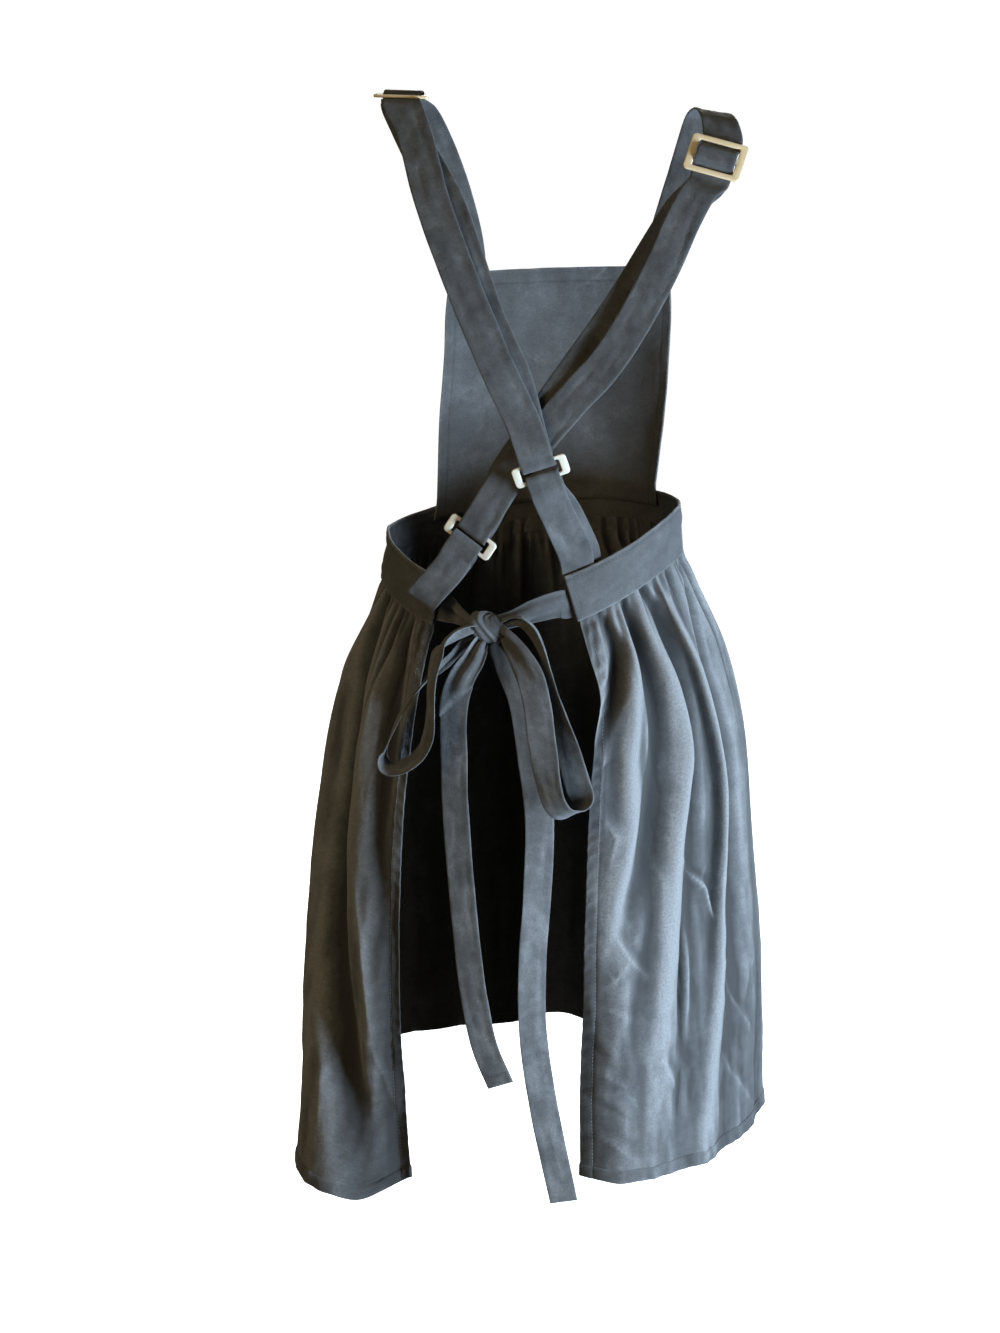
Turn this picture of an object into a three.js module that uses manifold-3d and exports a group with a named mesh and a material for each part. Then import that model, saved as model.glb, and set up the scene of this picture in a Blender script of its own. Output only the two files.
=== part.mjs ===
// Cross-back apron in its worn form, open at the back. Millimetres, +Z up, the open back faces -Y.
// The origin lies midway between the two shoulder straps, where the apron hangs.
import * as THREE from 'three';
import { mergeVertices } from 'three/addons/utils/BufferGeometryUtils.js';
import Module from 'manifold-3d';

// Cloth walls and widths
const SKIRT_WALL = 1.2;
const BAND_WALL = 2.4;
const BIB_WALL = 1.6;
const STRAP_WALL = 1.8;
const STRAP_WIDTH = 27;
const STRAP_STEPS = 2;
const TIE_WALL = 1.4;
const TIE_STEPS = 2;
const SEWN_GAP = 0.4;

// Waistband: an ellipse round the waist. Turns are degrees from the middle of the back, by the left side.
const WAIST_HALF_WIDTH = 119;
const WAIST_HALF_DEPTH = 93;
const WAIST_CENTRE_X = -2;
const WAIST_CENTRE_Y = 5;
const WAIST_Z = -323;
const BAND_HEIGHT = 40;
const BAND_FLARE = 4;
const SIDE_TILT = 0.14;
const BACK_DROOP = 40;
const FRONT_RISE = 8;
const BAND_END_LEFT = { top: 27, foot: 31 };
const BAND_END_RIGHT = { top: 339.5, foot: 334 };
const BAND_STEPS = 60;

// Skirt
const SEAM_DROP = 0.9;
const EDGE_LEFT = { seam: 31, hem: 27 };
const EDGE_RIGHT = { seam: 333, hem: 337 };
const PLEATS = 60;
const PLEAT_DEPTH = 2.2;
const PLEAT_FADE = 0.09;
const FRONT_FOLDS = 9;
const SKIRT_ROWS = [0, 0.018, 0.045, 0.09, 0.15, 0.24, 0.36, 0.5, 0.66, 0.83, 1];

// Outline of the skirt at fractions of its length
const SKIRT_SECTIONS = [
  { at: 0, halfWidth: 122, halfDepth: 96, centreX: -2, centreY: 5 },
  { at: 0.06, halfWidth: 132, halfDepth: 110, centreX: -1, centreY: 7 },
  { at: 0.16, halfWidth: 149, halfDepth: 132, centreX: 1, centreY: 10 },
  { at: 0.34, halfWidth: 167, halfDepth: 155, centreX: 2, centreY: 14 },
  { at: 0.53, halfWidth: 178, halfDepth: 171, centreX: 3, centreY: 18 },
  { at: 0.7, halfWidth: 186, halfDepth: 181, centreX: 6, centreY: 21 },
  { at: 0.9, halfWidth: 193, halfDepth: 190, centreX: 8, centreY: 24 },
  { at: 1, halfWidth: 196, halfDepth: 194, centreX: 9, centreY: 25 },
];

// Height of the hem round the skirt, which hangs lower on its left
const HEM_LINE = [
  { at: 25, z: -872 },
  { at: 45, z: -880 },
  { at: 75, z: -878 },
  { at: 120, z: -868 },
  { at: 180, z: -856 },
  { at: 240, z: -844 },
  { at: 290, z: -839 },
  { at: 320, z: -836 },
  { at: 337, z: -834 },
];

// Folds of the back panels: turn at the seam and at the hem, half-spread in degrees, and how far
// the cloth stands out (or in, below zero) halfway down and at the hem
const SKIRT_FOLDS = [
  { seam: 31, hem: 25, spread: 10, swell: -3, hemSwell: -50 },
  { seam: 39, hem: 45, spread: 19, swell: 9, hemSwell: 33 },
  { seam: 54, hem: 68, spread: 10, swell: -14, hemSwell: -10 },
  { seam: 66, hem: 79, spread: 10, swell: 8, hemSwell: 7 },
  { seam: 80, hem: 89, spread: 8, swell: -7, hemSwell: -8 },
  { seam: 272, hem: 276, spread: 7, swell: -7, hemSwell: -7 },
  { seam: 283, hem: 290, spread: 8, swell: 8, hemSwell: 5 },
  { seam: 291, hem: 300, spread: 5, swell: -13, hemSwell: -5 },
  { seam: 297, hem: 306, spread: 6, swell: 10, hemSwell: 7 },
  { seam: 304, hem: 312, spread: 5, swell: -8, hemSwell: -4 },
  { seam: 311, hem: 319, spread: 6, swell: 7, hemSwell: 6 },
  { seam: 317, hem: 324, spread: 5, swell: -5, hemSwell: -2 },
  { seam: 323, hem: 329, spread: 5, swell: 5, hemSwell: 3 },
];

// Bib, from its foot inside the band to its top edge
const BIB_TUCK = 12;
const BIB_TOP_Z = -132;
const BIB_TILT = 0.08;
const BIB_FOOT_ANGLE = 54;
const BIB_TOP_ANGLE = 37;
const BIB_SECTIONS = [
  { at: 0, halfWidth: 116.6, halfDepth: 90.6 },
  { at: 0.09, halfWidth: 116.6, halfDepth: 90.6 },
  { at: 0.35, halfWidth: 128, halfDepth: 101 },
  { at: 0.65, halfWidth: 140, halfDepth: 111 },
  { at: 0.85, halfWidth: 149, halfDepth: 106 },
  { at: 1, halfWidth: 152, halfDepth: 99 },
];

// Slider with three bars and rectangular ring, both with rounded corners
const HARDWARE_WIDTH = 44;
const HARDWARE_WINDOW = 32;
const SLIDER_LENGTH = 30;
const SLIDER_THICKNESS = 2.5;
const SLIDER_BAR = 4;
const SLIDER_MIDDLE_BAR = 3.5;
const RING_LENGTH = 16;
const RING_BAR = 3;
const CORNER_RADIUS = 3;
const EDGE_ROUND = 0.5;

// Strap paths through the hardware: along the strap and out from the body
const SLIDER_WAVE = [
  [-16, -3.6], [-13, -3.2], [-10.2, -2.7], [-7.6, 0.1], [-4.8, 3.6], [0, 4.9],
  [4.8, 3.6], [7.6, 0.1], [10.2, -2.7], [13, -2.9], [19, -2.9],
];
const SLIDER_WRAP = [
  [20, -5.9], [13, -5.5], [7, -5.1], [2.4, -4.3], [-1.2, -3.1], [-3.1, -1.7],
  [-3.35, 0.4], [-2.4, 2.1], [0, 2.65], [2.4, 2.1], [3.35, 0.4], [3.2, -1.1],
];
const RING_WRAP = [
  [-17, 3.1], [-10, 2.9], [-5, 2.8], [-2.5, 1.6], [-1.75, 0],
  [-2.5, -1.6], [-5, -2.8], [-10, -2.9], [-17, -3.1],
];

// Where the hardware sits, which way the strap runs through it and which way it faces
const SLIDER_PLACES = {
  left: { at: [-116, -2, 5], along: [0.1, -0.98, -0.12], out: [0, -0.12, 0.99] },
  right: { at: [137, -45, -30], along: [-0.2, -0.48, -0.85], out: [0.08, -0.86, 0.5] },
};
const RING_PLACES = {
  left: { at: [22, -103, -267], along: [0.35, 0.13, -0.93], out: [0.1, -0.98, -0.1] },
  right: { at: [-34, -91, -325], along: [-0.52, -0.03, -0.85], out: [-0.12, -0.99, 0.1] },
};

// Free runs of the straps: up the chest, down the back outside, and back up underneath
const STRAP_RUNS = {
  left: {
    chest: [[-82, 85, -104], [-98, 67, -46], [-113, 40, -6]],
    outer: [[-100, -38, -17], [-74, -76, -71], [-50, -95, -118], [-32, -102, -154], [-10, -105, -198],
      [6, -105, -228]],
    inner: [[11, -100, -238], [-2, -100, -197], [-25, -96, -153], [-43, -88, -112], [-66, -69, -68],
      [-92, -44, -36], [-108, -27, -14]],
  },
  right: {
    chest: [[84, 84, -102], [102, 62, -45], [116, 32, -7], [127, 2, 2], [135, -20, -3]],
    outer: [[128, -64, -54], [119, -78, -74], [108, -90, -105], [89, -98, -147], [67, -99, -184],
      [45, -97, -210], [22, -95, -239], [-5, -92.5, -275]],
    inner: [[-8, -86, -274], [14, -89, -239], [30, -92, -212], [47, -92, -186], [71, -90, -149],
      [95, -81, -106], [117, -66, -66]],
  },
};

// Short loops from the rings to the band ends: free points of the outer and the inner run, and the ends
// sewn inside the band by turn, fraction of the band's height and layer
const LOOP_RUNS = {
  right: {
    outer: [[32, -95, -296], [41, -87, -317], [48, -78, -337]],
    outerEnd: [{ turn: 333.5, down: 0.05, layer: 1 }, { turn: 333, down: 0.2, layer: 1 }],
    inner: [[53, -71.5, -337], [46, -81, -317], [36, -89, -296]],
    innerEnd: [{ turn: 330.5, down: 0.2, layer: 2 }, { turn: 331, down: 0.05, layer: 2 }],
  },
  left: {
    outer: [[-47, -96, -347], [-57, -96, -360], [-67, -94, -373], [-71.5, -91, -378.5], [-71.5, -86.5, -378.5],
      [-68, -84, -374]],
    outerEnd: [],
    inner: [[-53, -77, -354], [-47, -82, -346]],
    innerEnd: [{ turn: 31, down: 0.15, layer: 1 }, { turn: 30, down: 0.04, layer: 1 }],
  },
};

// Knot of the bow: a band of one tie round the other
const KNOT = { x: -12, y: -107, z: -393, length: 21, depth: 22, height: 26, wall: 4.2 };

// Ties. Columns: x, y, z of the middle line, then the way its width points (x, y, z), then its width
const TIE_COLUMNS = ['x', 'y', 'z', 'wx', 'wy', 'wz', 'width'];
const TIE_WIDTH = 23;
const TIE_ROOTS = {
  left: [{ turn: 38, down: 0.62, layer: 1.1 }, { turn: 31, down: 0.62, layer: 1.1 }],
  right: [{ turn: 329, down: 0.6, layer: 1.1 }, { turn: 337.5, down: 0.6, layer: 1.1 }],
};
const TIE_LEFT = [
  [-49, -81, -387, -0.1, -0.1, 1, 23],
  [-37, -97, -388, -0.1, -0.4, 0.9, 15],
  [-25, -105, -389, 0, -0.9, 0.3, 9],
  [-12, -107, -390, 0, -1, 0, 9],
  [0, -108, -391, 0, -1, 0.1, 10],
  [10, -116, -398, 0.6, -0.7, 0.4, 15],
  [19, -128, -411, 0.9, -0.2, 0.4, 22],
  [31, -138, -440, 0.95, -0.1, 0.3, 23],
  [40, -143, -479, 0.95, -0.1, 0.25, 23],
  [49, -147, -515, 0.95, 0, 0.2, 23],
  [57, -147, -533, 0.97, 0, 0.2, 23],
  [64, -141, -535, 0.97, 0, 0.2, 23],
  [65, -136, -518, 0.97, 0, 0.2, 23],
  [55, -130, -480, 0.95, 0, 0.3, 23],
  [41, -123, -446, 0.9, 0, 0.4, 22],
  [25, -114, -415, 0.75, -0.2, 0.6, 19],
  [9, -108, -400, 0.3, -0.9, 0.3, 11],
  [-1, -107, -397, 0, -1, 0.1, 9],
  [-12, -107, -396, 0, -1, 0, 9],
  [-24, -107, -397.5, -0.2, -1, 0, 8],
  [-30, -105, -407, -0.8, -0.6, 0.2, 13],
  [-33, -106, -424, -0.95, -0.2, 0.1, 20],
  [-35, -112, -452, -1, 0, 0, 23],
  [-35, -120, -490, -1, 0, 0, 23],
  [-30, -127, -560, -1, 0, 0, 23],
  [-21, -132, -627, -1, 0, 0.05, 23],
  [-11, -135, -690, -1, 0.1, 0, 23],
  [0, -137, -733, -1, 0.1, 0, 23],
  [14, -138, -763, -1, 0.1, 0, 23],
];
const TIE_RIGHT_LEAD = [
  [38, -84.5, -375, 0, 0, 1, 22],
  [20, -93, -380, 0.1, 0, 1, 19],
  [3, -97.5, -387, 0.1, 0, 1, 13],
  [-9, -98.2, -391, 0.1, 0, 1, 12],
];
const TIE_RIGHT_LOOP = [
  [-16, -116.2, -391, 0.1, -0.2, 0.95, 12],
  [-27, -119, -396, 0.2, -0.2, 0.95, 13],
  [-40, -125, -405, 0.3, -0.6, 0.7, 19],
  [-50, -131, -422, 0.1, -0.9, 0.3, 23],
  [-54, -135, -448, 0, -1, 0.1, 23],
  [-58, -137, -478, 0, -1, 0, 23],
  [-66, -137, -500, 0, -1, 0, 23],
  [-80, -137, -508, 0, -1, 0, 23],
  [-91, -136, -499, 0, -1, 0, 23],
  [-92, -133, -478, -0.2, -0.9, 0.2, 23],
  [-82, -127, -456, -0.5, -0.6, 0.6, 23],
  [-66, -120, -436, -0.6, -0.3, 0.75, 22],
  [-46, -119, -418, -0.5, -0.2, 0.85, 14],
  [-28, -117, -406, -0.3, -0.2, 0.9, 8],
  [-15, -115.8, -400, -0.2, -0.2, 0.9, 7],
];
const TIE_RIGHT_TAIL = [
  [-9, -104, -403.6, 1, 0, 0.2, 12],
  [-5, -103, -412, 1, 0, 0.2, 16],
  [4, -102, -428, 1, 0, 0.25, 22],
  [14, -103, -450, 1, 0, 0.25, 23],
  [24, -108, -494, 1, 0, 0.2, 23],
  [33, -114, -541, 1, 0, 0.1, 23],
  [35, -122, -606, 1, 0, 0, 23],
  [34, -126, -656, 1, 0.1, 0, 23],
  [37, -130, -715, 1, 0.1, 0.05, 23],
  [48, -133, -776, 1, 0.1, 0.1, 23],
  [69, -136, -860, 1, 0.1, 0.2, 23],
];

const wasm = await Module();
wasm.setup();

const radians = (degrees) => (degrees * Math.PI) / 180;
const mix = (a, b, t) => a + (b - a) * t;
const vector = (xyz) => new THREE.Vector3(...xyz);

function ease(from, to, value) {
  const t = Math.min(1, Math.max(0, (value - from) / (to - from)));
  return t * t * (3 - 2 * t);
}

// Smooth value of one column of a table at a fraction
function column(rows, name, at) {
  let k = 0;
  while (k < rows.length - 2 && at > rows[k + 1].at) {
    k += 1;
  }
  const row = (i) => rows[Math.min(rows.length - 1, Math.max(0, i))];
  const slope = (i) => (row(i + 1)[name] - row(i - 1)[name]) / (row(i + 1).at - row(i - 1).at);
  const span = row(k + 1).at - row(k).at;
  const t = (at - row(k).at) / span;
  const a = 2 * t ** 3 - 3 * t ** 2 + 1;
  const b = t ** 3 - 2 * t ** 2 + t;
  const c = 3 * t ** 2 - 2 * t ** 3;
  const d = t ** 3 - t ** 2;
  return a * row(k)[name] + b * span * slope(k) + c * row(k + 1)[name] + d * span * slope(k + 1);
}

// Point and outward direction of an upright ellipse at a turn from the middle of the back
function onEllipse(turn, halfWidth, halfDepth, centreX, centreY) {
  const side = -Math.sin(radians(turn));
  const back = -Math.cos(radians(turn));
  const out = new THREE.Vector3(side / halfWidth, back / halfDepth, 0).normalize();
  return { point: new THREE.Vector3(centreX + side * halfWidth, centreY + back * halfDepth, 0), out };
}

// Closed wall of even thickness about a grid of points
function clothWall(grid, wall) {
  const across = grid.length;
  const down = grid[0].length;
  const positions = [];
  const index = [];
  for (const side of [1, -1]) {
    for (let i = 0; i < across; i += 1) {
      for (let j = 0; j < down; j += 1) {
        const u = grid[Math.min(i + 1, across - 1)][j].clone().sub(grid[Math.max(i - 1, 0)][j]);
        const v = grid[i][Math.min(j + 1, down - 1)].clone().sub(grid[i][Math.max(j - 1, 0)]);
        const normal = u.cross(v).normalize();
        positions.push(...grid[i][j].clone().addScaledVector(normal, (side * wall) / 2).toArray());
      }
    }
  }
  const id = (face, i, j) => face * across * down + i * down + j;
  const quad = (a, b, c, d) => index.push(a, b, c, a, c, d);
  for (let i = 0; i < across - 1; i += 1) {
    for (let j = 0; j < down - 1; j += 1) {
      quad(id(0, i, j), id(0, i + 1, j), id(0, i + 1, j + 1), id(0, i, j + 1));
      quad(id(1, i, j), id(1, i, j + 1), id(1, i + 1, j + 1), id(1, i + 1, j));
    }
  }
  for (let i = 0; i < across - 1; i += 1) {
    quad(id(1, i, 0), id(1, i + 1, 0), id(0, i + 1, 0), id(0, i, 0));
    quad(id(0, i, down - 1), id(0, i + 1, down - 1), id(1, i + 1, down - 1), id(1, i, down - 1));
  }
  for (let j = 0; j < down - 1; j += 1) {
    quad(id(0, 0, j), id(0, 0, j + 1), id(1, 0, j + 1), id(1, 0, j));
    quad(id(1, across - 1, j), id(1, across - 1, j + 1), id(0, across - 1, j + 1), id(0, across - 1, j));
  }
  const geometry = new THREE.BufferGeometry();
  geometry.setAttribute('position', new THREE.Float32BufferAttribute(positions, 3));
  geometry.setIndex(index);
  return geometry;
}

// Ribbon along a route: stations carry a point, the way its width points and its width
function ribbonWall(stations, steps, wall) {
  const curve = new THREE.CatmullRomCurve3(stations.map((s) => s.point), false, 'centripetal');
  const grid = [];
  const last = stations.length - 1;
  for (let k = 0; k <= last; k += 1) {
    const pieces = k === last ? 1 : steps;
    for (let p = 0; p < pieces; p += 1) {
      const here = (k + p / pieces) / last;
      const next = stations[Math.min(k + 1, last)];
      const across = stations[k].across.clone().lerp(next.across, p / pieces);
      const tangent = curve.getTangent(here);
      across.addScaledVector(tangent, -across.dot(tangent)).normalize();
      const half = mix(stations[k].width, next.width, p / pieces) / 2;
      const middle = curve.getPoint(here);
      grid.push([-half, half].map((s) => middle.clone().addScaledVector(across, s)));
    }
  }
  return clothWall(grid, wall);
}

// Band

function bandTop(turn) {
  const { point } = onEllipse(turn, WAIST_HALF_WIDTH, WAIST_HALF_DEPTH, WAIST_CENTRE_X, WAIST_CENTRE_Y);
  const back = Math.cos(radians(turn));
  const sag = back > 0 ? -BACK_DROOP * back * back : FRONT_RISE * back * back;
  return WAIST_Z + SIDE_TILT * point.x + sag;
}

function bandPoint(turn, down) {
  const grow = BAND_FLARE * down;
  const halves = [WAIST_HALF_WIDTH + grow, WAIST_HALF_DEPTH + grow];
  const { point } = onEllipse(turn, ...halves, WAIST_CENTRE_X, WAIST_CENTRE_Y);
  point.z = bandTop(turn) - BAND_HEIGHT * down;
  return point;
}

function waistband() {
  const grid = [];
  for (let i = 0; i <= BAND_STEPS; i += 1) {
    grid.push([0, 0.5, 1].map((down) => {
      const start = mix(BAND_END_LEFT.top, BAND_END_LEFT.foot, down);
      const end = mix(BAND_END_RIGHT.top, BAND_END_RIGHT.foot, down);
      return bandPoint(mix(start, end, i / BAND_STEPS), down);
    }));
  }
  return clothWall(grid, BAND_WALL);
}

// Skirt

function frontFolds() {
  const rows = [];
  for (let i = 0; i < FRONT_FOLDS; i += 1) {
    const turn = mix(97, 259, i / (FRONT_FOLDS - 1)) + 4 * Math.sin(2.4 * i);
    const swell = (i % 2 === 0 ? 9 : -8) * (1 + 0.35 * Math.sin(1.9 * i));
    rows.push({ seam: turn, hem: turn, spread: 12, swell, hemSwell: swell * 1.3 });
  }
  return rows;
}

const ALL_FOLDS = [...SKIRT_FOLDS, ...frontFolds()];

function foldSwell(turn, down) {
  let swell = 0;
  for (const fold of ALL_FOLDS) {
    const off = (turn - mix(fold.seam, fold.hem, down)) / fold.spread;
    if (Math.abs(off) < 1) {
      const height = mix(fold.swell, fold.hemSwell, ease(0.4, 1, down)) * ease(0.01, 0.25, down);
      swell += (height * (1 + Math.cos(Math.PI * off))) / 2;
    }
  }
  return swell;
}

function skirtPoint(step, down) {
  const t = step / (2 * PLEATS);
  const left = mix(EDGE_LEFT.seam, EDGE_LEFT.hem, down);
  const turn = mix(left, mix(EDGE_RIGHT.seam, EDGE_RIGHT.hem, down), t);
  const [halfWidth, halfDepth, centreX, centreY] = ['halfWidth', 'halfDepth', 'centreX', 'centreY']
    .map((name) => column(SKIRT_SECTIONS, name, down));
  const { point, out } = onEllipse(turn, halfWidth, halfDepth, centreX, centreY);
  const pleat = (step % 2 === 0 ? 1 : -1) * PLEAT_DEPTH * Math.exp(-down / PLEAT_FADE);
  const seam = bandTop(turn) - BAND_HEIGHT - SEAM_DROP;
  point.z = mix(seam, column(HEM_LINE, 'z', turn), down);
  return point.addScaledVector(out, foldSwell(turn, down) + pleat);
}

function skirt() {
  const grid = [];
  for (let step = 0; step <= 2 * PLEATS; step += 1) {
    grid.push(SKIRT_ROWS.map((down) => skirtPoint(step, down)));
  }
  return clothWall(grid, SKIRT_WALL);
}

// Bib

function bibPoint(across, up) {
  const turn = 180 + across * mix(BIB_FOOT_ANGLE, BIB_TOP_ANGLE, up);
  const halfWidth = column(BIB_SECTIONS, 'halfWidth', up);
  const halfDepth = column(BIB_SECTIONS, 'halfDepth', up);
  const { point } = onEllipse(turn, halfWidth, halfDepth, WAIST_CENTRE_X, WAIST_CENTRE_Y);
  point.z = mix(bandTop(turn) - BIB_TUCK, BIB_TOP_Z + BIB_TILT * point.x, up);
  return point;
}

function bib() {
  const grid = [];
  for (let i = 0; i <= 12; i += 1) {
    grid.push([0, 0.05, 0.09, 0.2, 0.35, 0.5, 0.65, 0.8, 0.9, 1].map((up) => bibPoint(i / 6 - 1, up)));
  }
  return clothWall(grid, BIB_WALL);
}

// Hardware

function roundedOutline(shape, width, length, radius, centre) {
  const x = width / 2;
  const y = length / 2;
  shape.moveTo(-x + radius, centre - y);
  shape.lineTo(x - radius, centre - y);
  shape.absarc(x - radius, centre - y + radius, radius, -Math.PI / 2, 0, false);
  shape.lineTo(x, centre + y - radius);
  shape.absarc(x - radius, centre + y - radius, radius, 0, Math.PI / 2, false);
  shape.lineTo(-x + radius, centre + y);
  shape.absarc(-x + radius, centre + y - radius, radius, Math.PI / 2, Math.PI, false);
  shape.lineTo(-x, centre - y + radius);
  shape.absarc(-x + radius, centre - y + radius, radius, Math.PI, 1.5 * Math.PI, false);
  shape.closePath();
  return shape;
}

// Frame with windows, lying in its own plane about its middle
function frameSolid(length, thickness, windows) {
  const trim = 2 * EDGE_ROUND;
  const shape = roundedOutline(new THREE.Shape(), HARDWARE_WIDTH - trim, length - trim, CORNER_RADIUS, 0);
  for (const { centre, opening } of windows) {
    shape.holes.push(roundedOutline(new THREE.Path(), HARDWARE_WINDOW + trim, opening + trim, 1, centre));
  }
  const geometry = new THREE.ExtrudeGeometry(shape, {
    depth: thickness - trim,
    bevelEnabled: true,
    bevelThickness: EDGE_ROUND,
    bevelSize: EDGE_ROUND,
    bevelSegments: 1,
    curveSegments: 2,
  });
  return geometry.translate(0, 0, EDGE_ROUND - thickness / 2);
}

function placeOf({ at, along, out }) {
  const run = vector(along).normalize();
  const across = run.clone().cross(vector(out)).normalize();
  const face = across.clone().cross(run);
  return { at: vector(at), run, across, face };
}

function seated(geometry, place) {
  const basis = new THREE.Matrix4().makeBasis(place.across, place.run, place.face);
  return geometry.applyMatrix4(basis.setPosition(place.at));
}

function slider(place) {
  const opening = (SLIDER_LENGTH - 2 * SLIDER_BAR - SLIDER_MIDDLE_BAR) / 2;
  const centre = (SLIDER_MIDDLE_BAR + opening) / 2;
  const windows = [{ centre, opening }, { centre: -centre, opening }];
  return seated(frameSolid(SLIDER_LENGTH, SLIDER_THICKNESS, windows), place);
}

function ring(place) {
  const windows = [{ centre: 0, opening: RING_LENGTH - 2 * RING_BAR }];
  return seated(frameSolid(RING_LENGTH, RING_BAR, windows), place);
}

// Straps and loops

function throughHardware(place, path, sign = 1) {
  return path.map(([along, out]) => ({
    point: place.at.clone().addScaledVector(place.run, sign * along).addScaledVector(place.face, out),
    across: place.across.clone(),
    width: STRAP_WIDTH,
  }));
}

// Stations of a free run, their width turning evenly from one piece of hardware to the next
function freeRun(points, from, to) {
  return points.map((xyz, k) => ({
    point: vector(xyz),
    across: from.clone().lerp(to, (k + 1) / (points.length + 1)).normalize(),
    width: STRAP_WIDTH,
  }));
}

// How far the waist curves away from a flat ribbon's edges
function bowOf(width) {
  return (width * width) / (8 * WAIST_HALF_DEPTH);
}

function strap(side) {
  const sign = side === 'left' ? -1 : 1;
  const sliderPlace = placeOf(SLIDER_PLACES[side]);
  const ringPlace = placeOf(RING_PLACES[side]);
  const runs = STRAP_RUNS[side];
  const behind = STRAP_WALL / 2 + BIB_WALL / 2 + SEWN_GAP + 2 * bowOf(STRAP_WIDTH);
  const sewn = [0.9, 0.97].map((up) => {
    const corner = bibPoint(sign * 0.8, up);
    const edge = bibPoint(sign * 0.98, up);
    const across = edge.clone().sub(bibPoint(sign * 0.62, up)).multiplyScalar(-sign).normalize();
    const lift = bibPoint(sign * 0.8, up - 0.05).sub(corner).negate();
    const inward = across.clone().cross(lift).normalize();
    inward.multiplyScalar(Math.sign(-inward.y));
    return { point: corner.addScaledVector(inward, behind), across, width: STRAP_WIDTH };
  });
  const stations = [
    ...sewn,
    ...freeRun(runs.chest, sewn[1].across, sliderPlace.across),
    ...throughHardware(sliderPlace, SLIDER_WAVE),
    ...freeRun(runs.outer, sliderPlace.across, ringPlace.across),
    ...throughHardware(ringPlace, RING_WRAP),
    ...freeRun(runs.inner, ringPlace.across, sliderPlace.across),
    ...throughHardware(sliderPlace, SLIDER_WRAP),
  ];
  return ribbonWall(stations, STRAP_STEPS, STRAP_WALL);
}

// Station of a ribbon sewn inside the band, its width lying in the band's surface
function sewnToBand({ turn, down, layer }, across, width, wall) {
  const { out } = onEllipse(turn, WAIST_HALF_WIDTH, WAIST_HALF_DEPTH, WAIST_CENTRE_X, WAIST_CENTRE_Y);
  const normal = out.multiplyScalar(BAND_HEIGHT).setZ(BAND_FLARE).normalize();
  const stack = (layer - 1) * (wall + SEWN_GAP);
  const off = BAND_WALL / 2 + SEWN_GAP + wall / 2 + bowOf(width) + stack;
  const point = bandPoint(turn, down).addScaledVector(normal, -off);
  return { point, across: across.clone().addScaledVector(normal, -across.dot(normal)).normalize(), width };
}

function backLoop(side) {
  const ringPlace = placeOf(RING_PLACES[side === 'left' ? 'right' : 'left']);
  const runs = LOOP_RUNS[side];
  const turned = ringPlace.across;
  const sewn = (ends) => ends.map((place) => sewnToBand(place, turned, STRAP_WIDTH, STRAP_WALL));
  const innerEnd = sewn(runs.innerEnd);
  const outerEnd = sewn(runs.outerEnd);
  const stations = [
    ...innerEnd,
    ...freeRun(runs.inner, innerEnd[1].across, turned),
    ...throughHardware(ringPlace, [...RING_WRAP].reverse(), -1),
    ...freeRun(runs.outer, turned, outerEnd[0]?.across ?? turned),
    ...outerEnd,
  ];
  return ribbonWall(stations, STRAP_STEPS, STRAP_WALL);
}

// Ties

function tieStations(rows) {
  return rows.map((values) => {
    const row = Object.fromEntries(TIE_COLUMNS.map((name, k) => [name, values[k]]));
    const across = new THREE.Vector3(row.wx, row.wy, row.wz).normalize();
    return { point: new THREE.Vector3(row.x, row.y, row.z), across, width: row.width };
  });
}

function tieRoot(side) {
  const up = new THREE.Vector3(0, 0, 1);
  return TIE_ROOTS[side].map((place) => sewnToBand(place, up, TIE_WIDTH, TIE_WALL));
}

// Soft band of the knot: a rounded sleeve lying across the back
function knotSleeve() {
  const outer = [];
  const steps = 8;
  for (let k = 0; k <= steps; k += 1) {
    const t = (k / steps) * Math.PI;
    outer.push(new THREE.Vector2(1 - 0.16 * (1 - Math.sin(t)), (-Math.cos(t) * KNOT.length) / 2));
  }
  const hole = 1 - (2 * KNOT.wall) / KNOT.depth;
  const profile = [...outer, new THREE.Vector2(hole, KNOT.length / 2 - 1),
    new THREE.Vector2(hole, 1 - KNOT.length / 2), outer[0].clone()];
  const sleeve = new THREE.LatheGeometry(profile, 16);
  sleeve.scale(KNOT.height / 2, 1, KNOT.depth / 2);
  sleeve.rotateZ(Math.PI / 2);
  return sleeve.translate(KNOT.x, KNOT.y, KNOT.z);
}

function solid(geometry) {
  const bare = geometry.clone();
  bare.deleteAttribute('normal');
  bare.deleteAttribute('uv');
  const merged = mergeVertices(bare, 1e-3);
  return new wasm.Manifold(new wasm.Mesh({
    numProp: 3,
    vertProperties: new Float32Array(merged.attributes.position.array),
    triVerts: new Uint32Array(merged.index.array),
  }));
}

function surface(manifold) {
  const mesh = manifold.getMesh();
  const geometry = new THREE.BufferGeometry();
  geometry.setAttribute('position', new THREE.Float32BufferAttribute(mesh.vertProperties, 3));
  geometry.setIndex([...mesh.triVerts]);
  return geometry;
}

function tieLeft() {
  return ribbonWall([...tieRoot('left'), ...tieStations(TIE_LEFT)], TIE_STEPS, TIE_WALL);
}

function tieRight() {
  const lead = [...tieRoot('right'), ...tieStations(TIE_RIGHT_LEAD)];
  const runs = [lead, tieStations(TIE_RIGHT_LOOP), tieStations(TIE_RIGHT_TAIL)];
  const parts = runs.map((stations) => solid(ribbonWall(stations, TIE_STEPS, TIE_WALL)));
  return surface(parts.reduce((whole, part) => whole.add(part), solid(knotSleeve())));
}

// Finishes and assembly

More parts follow.
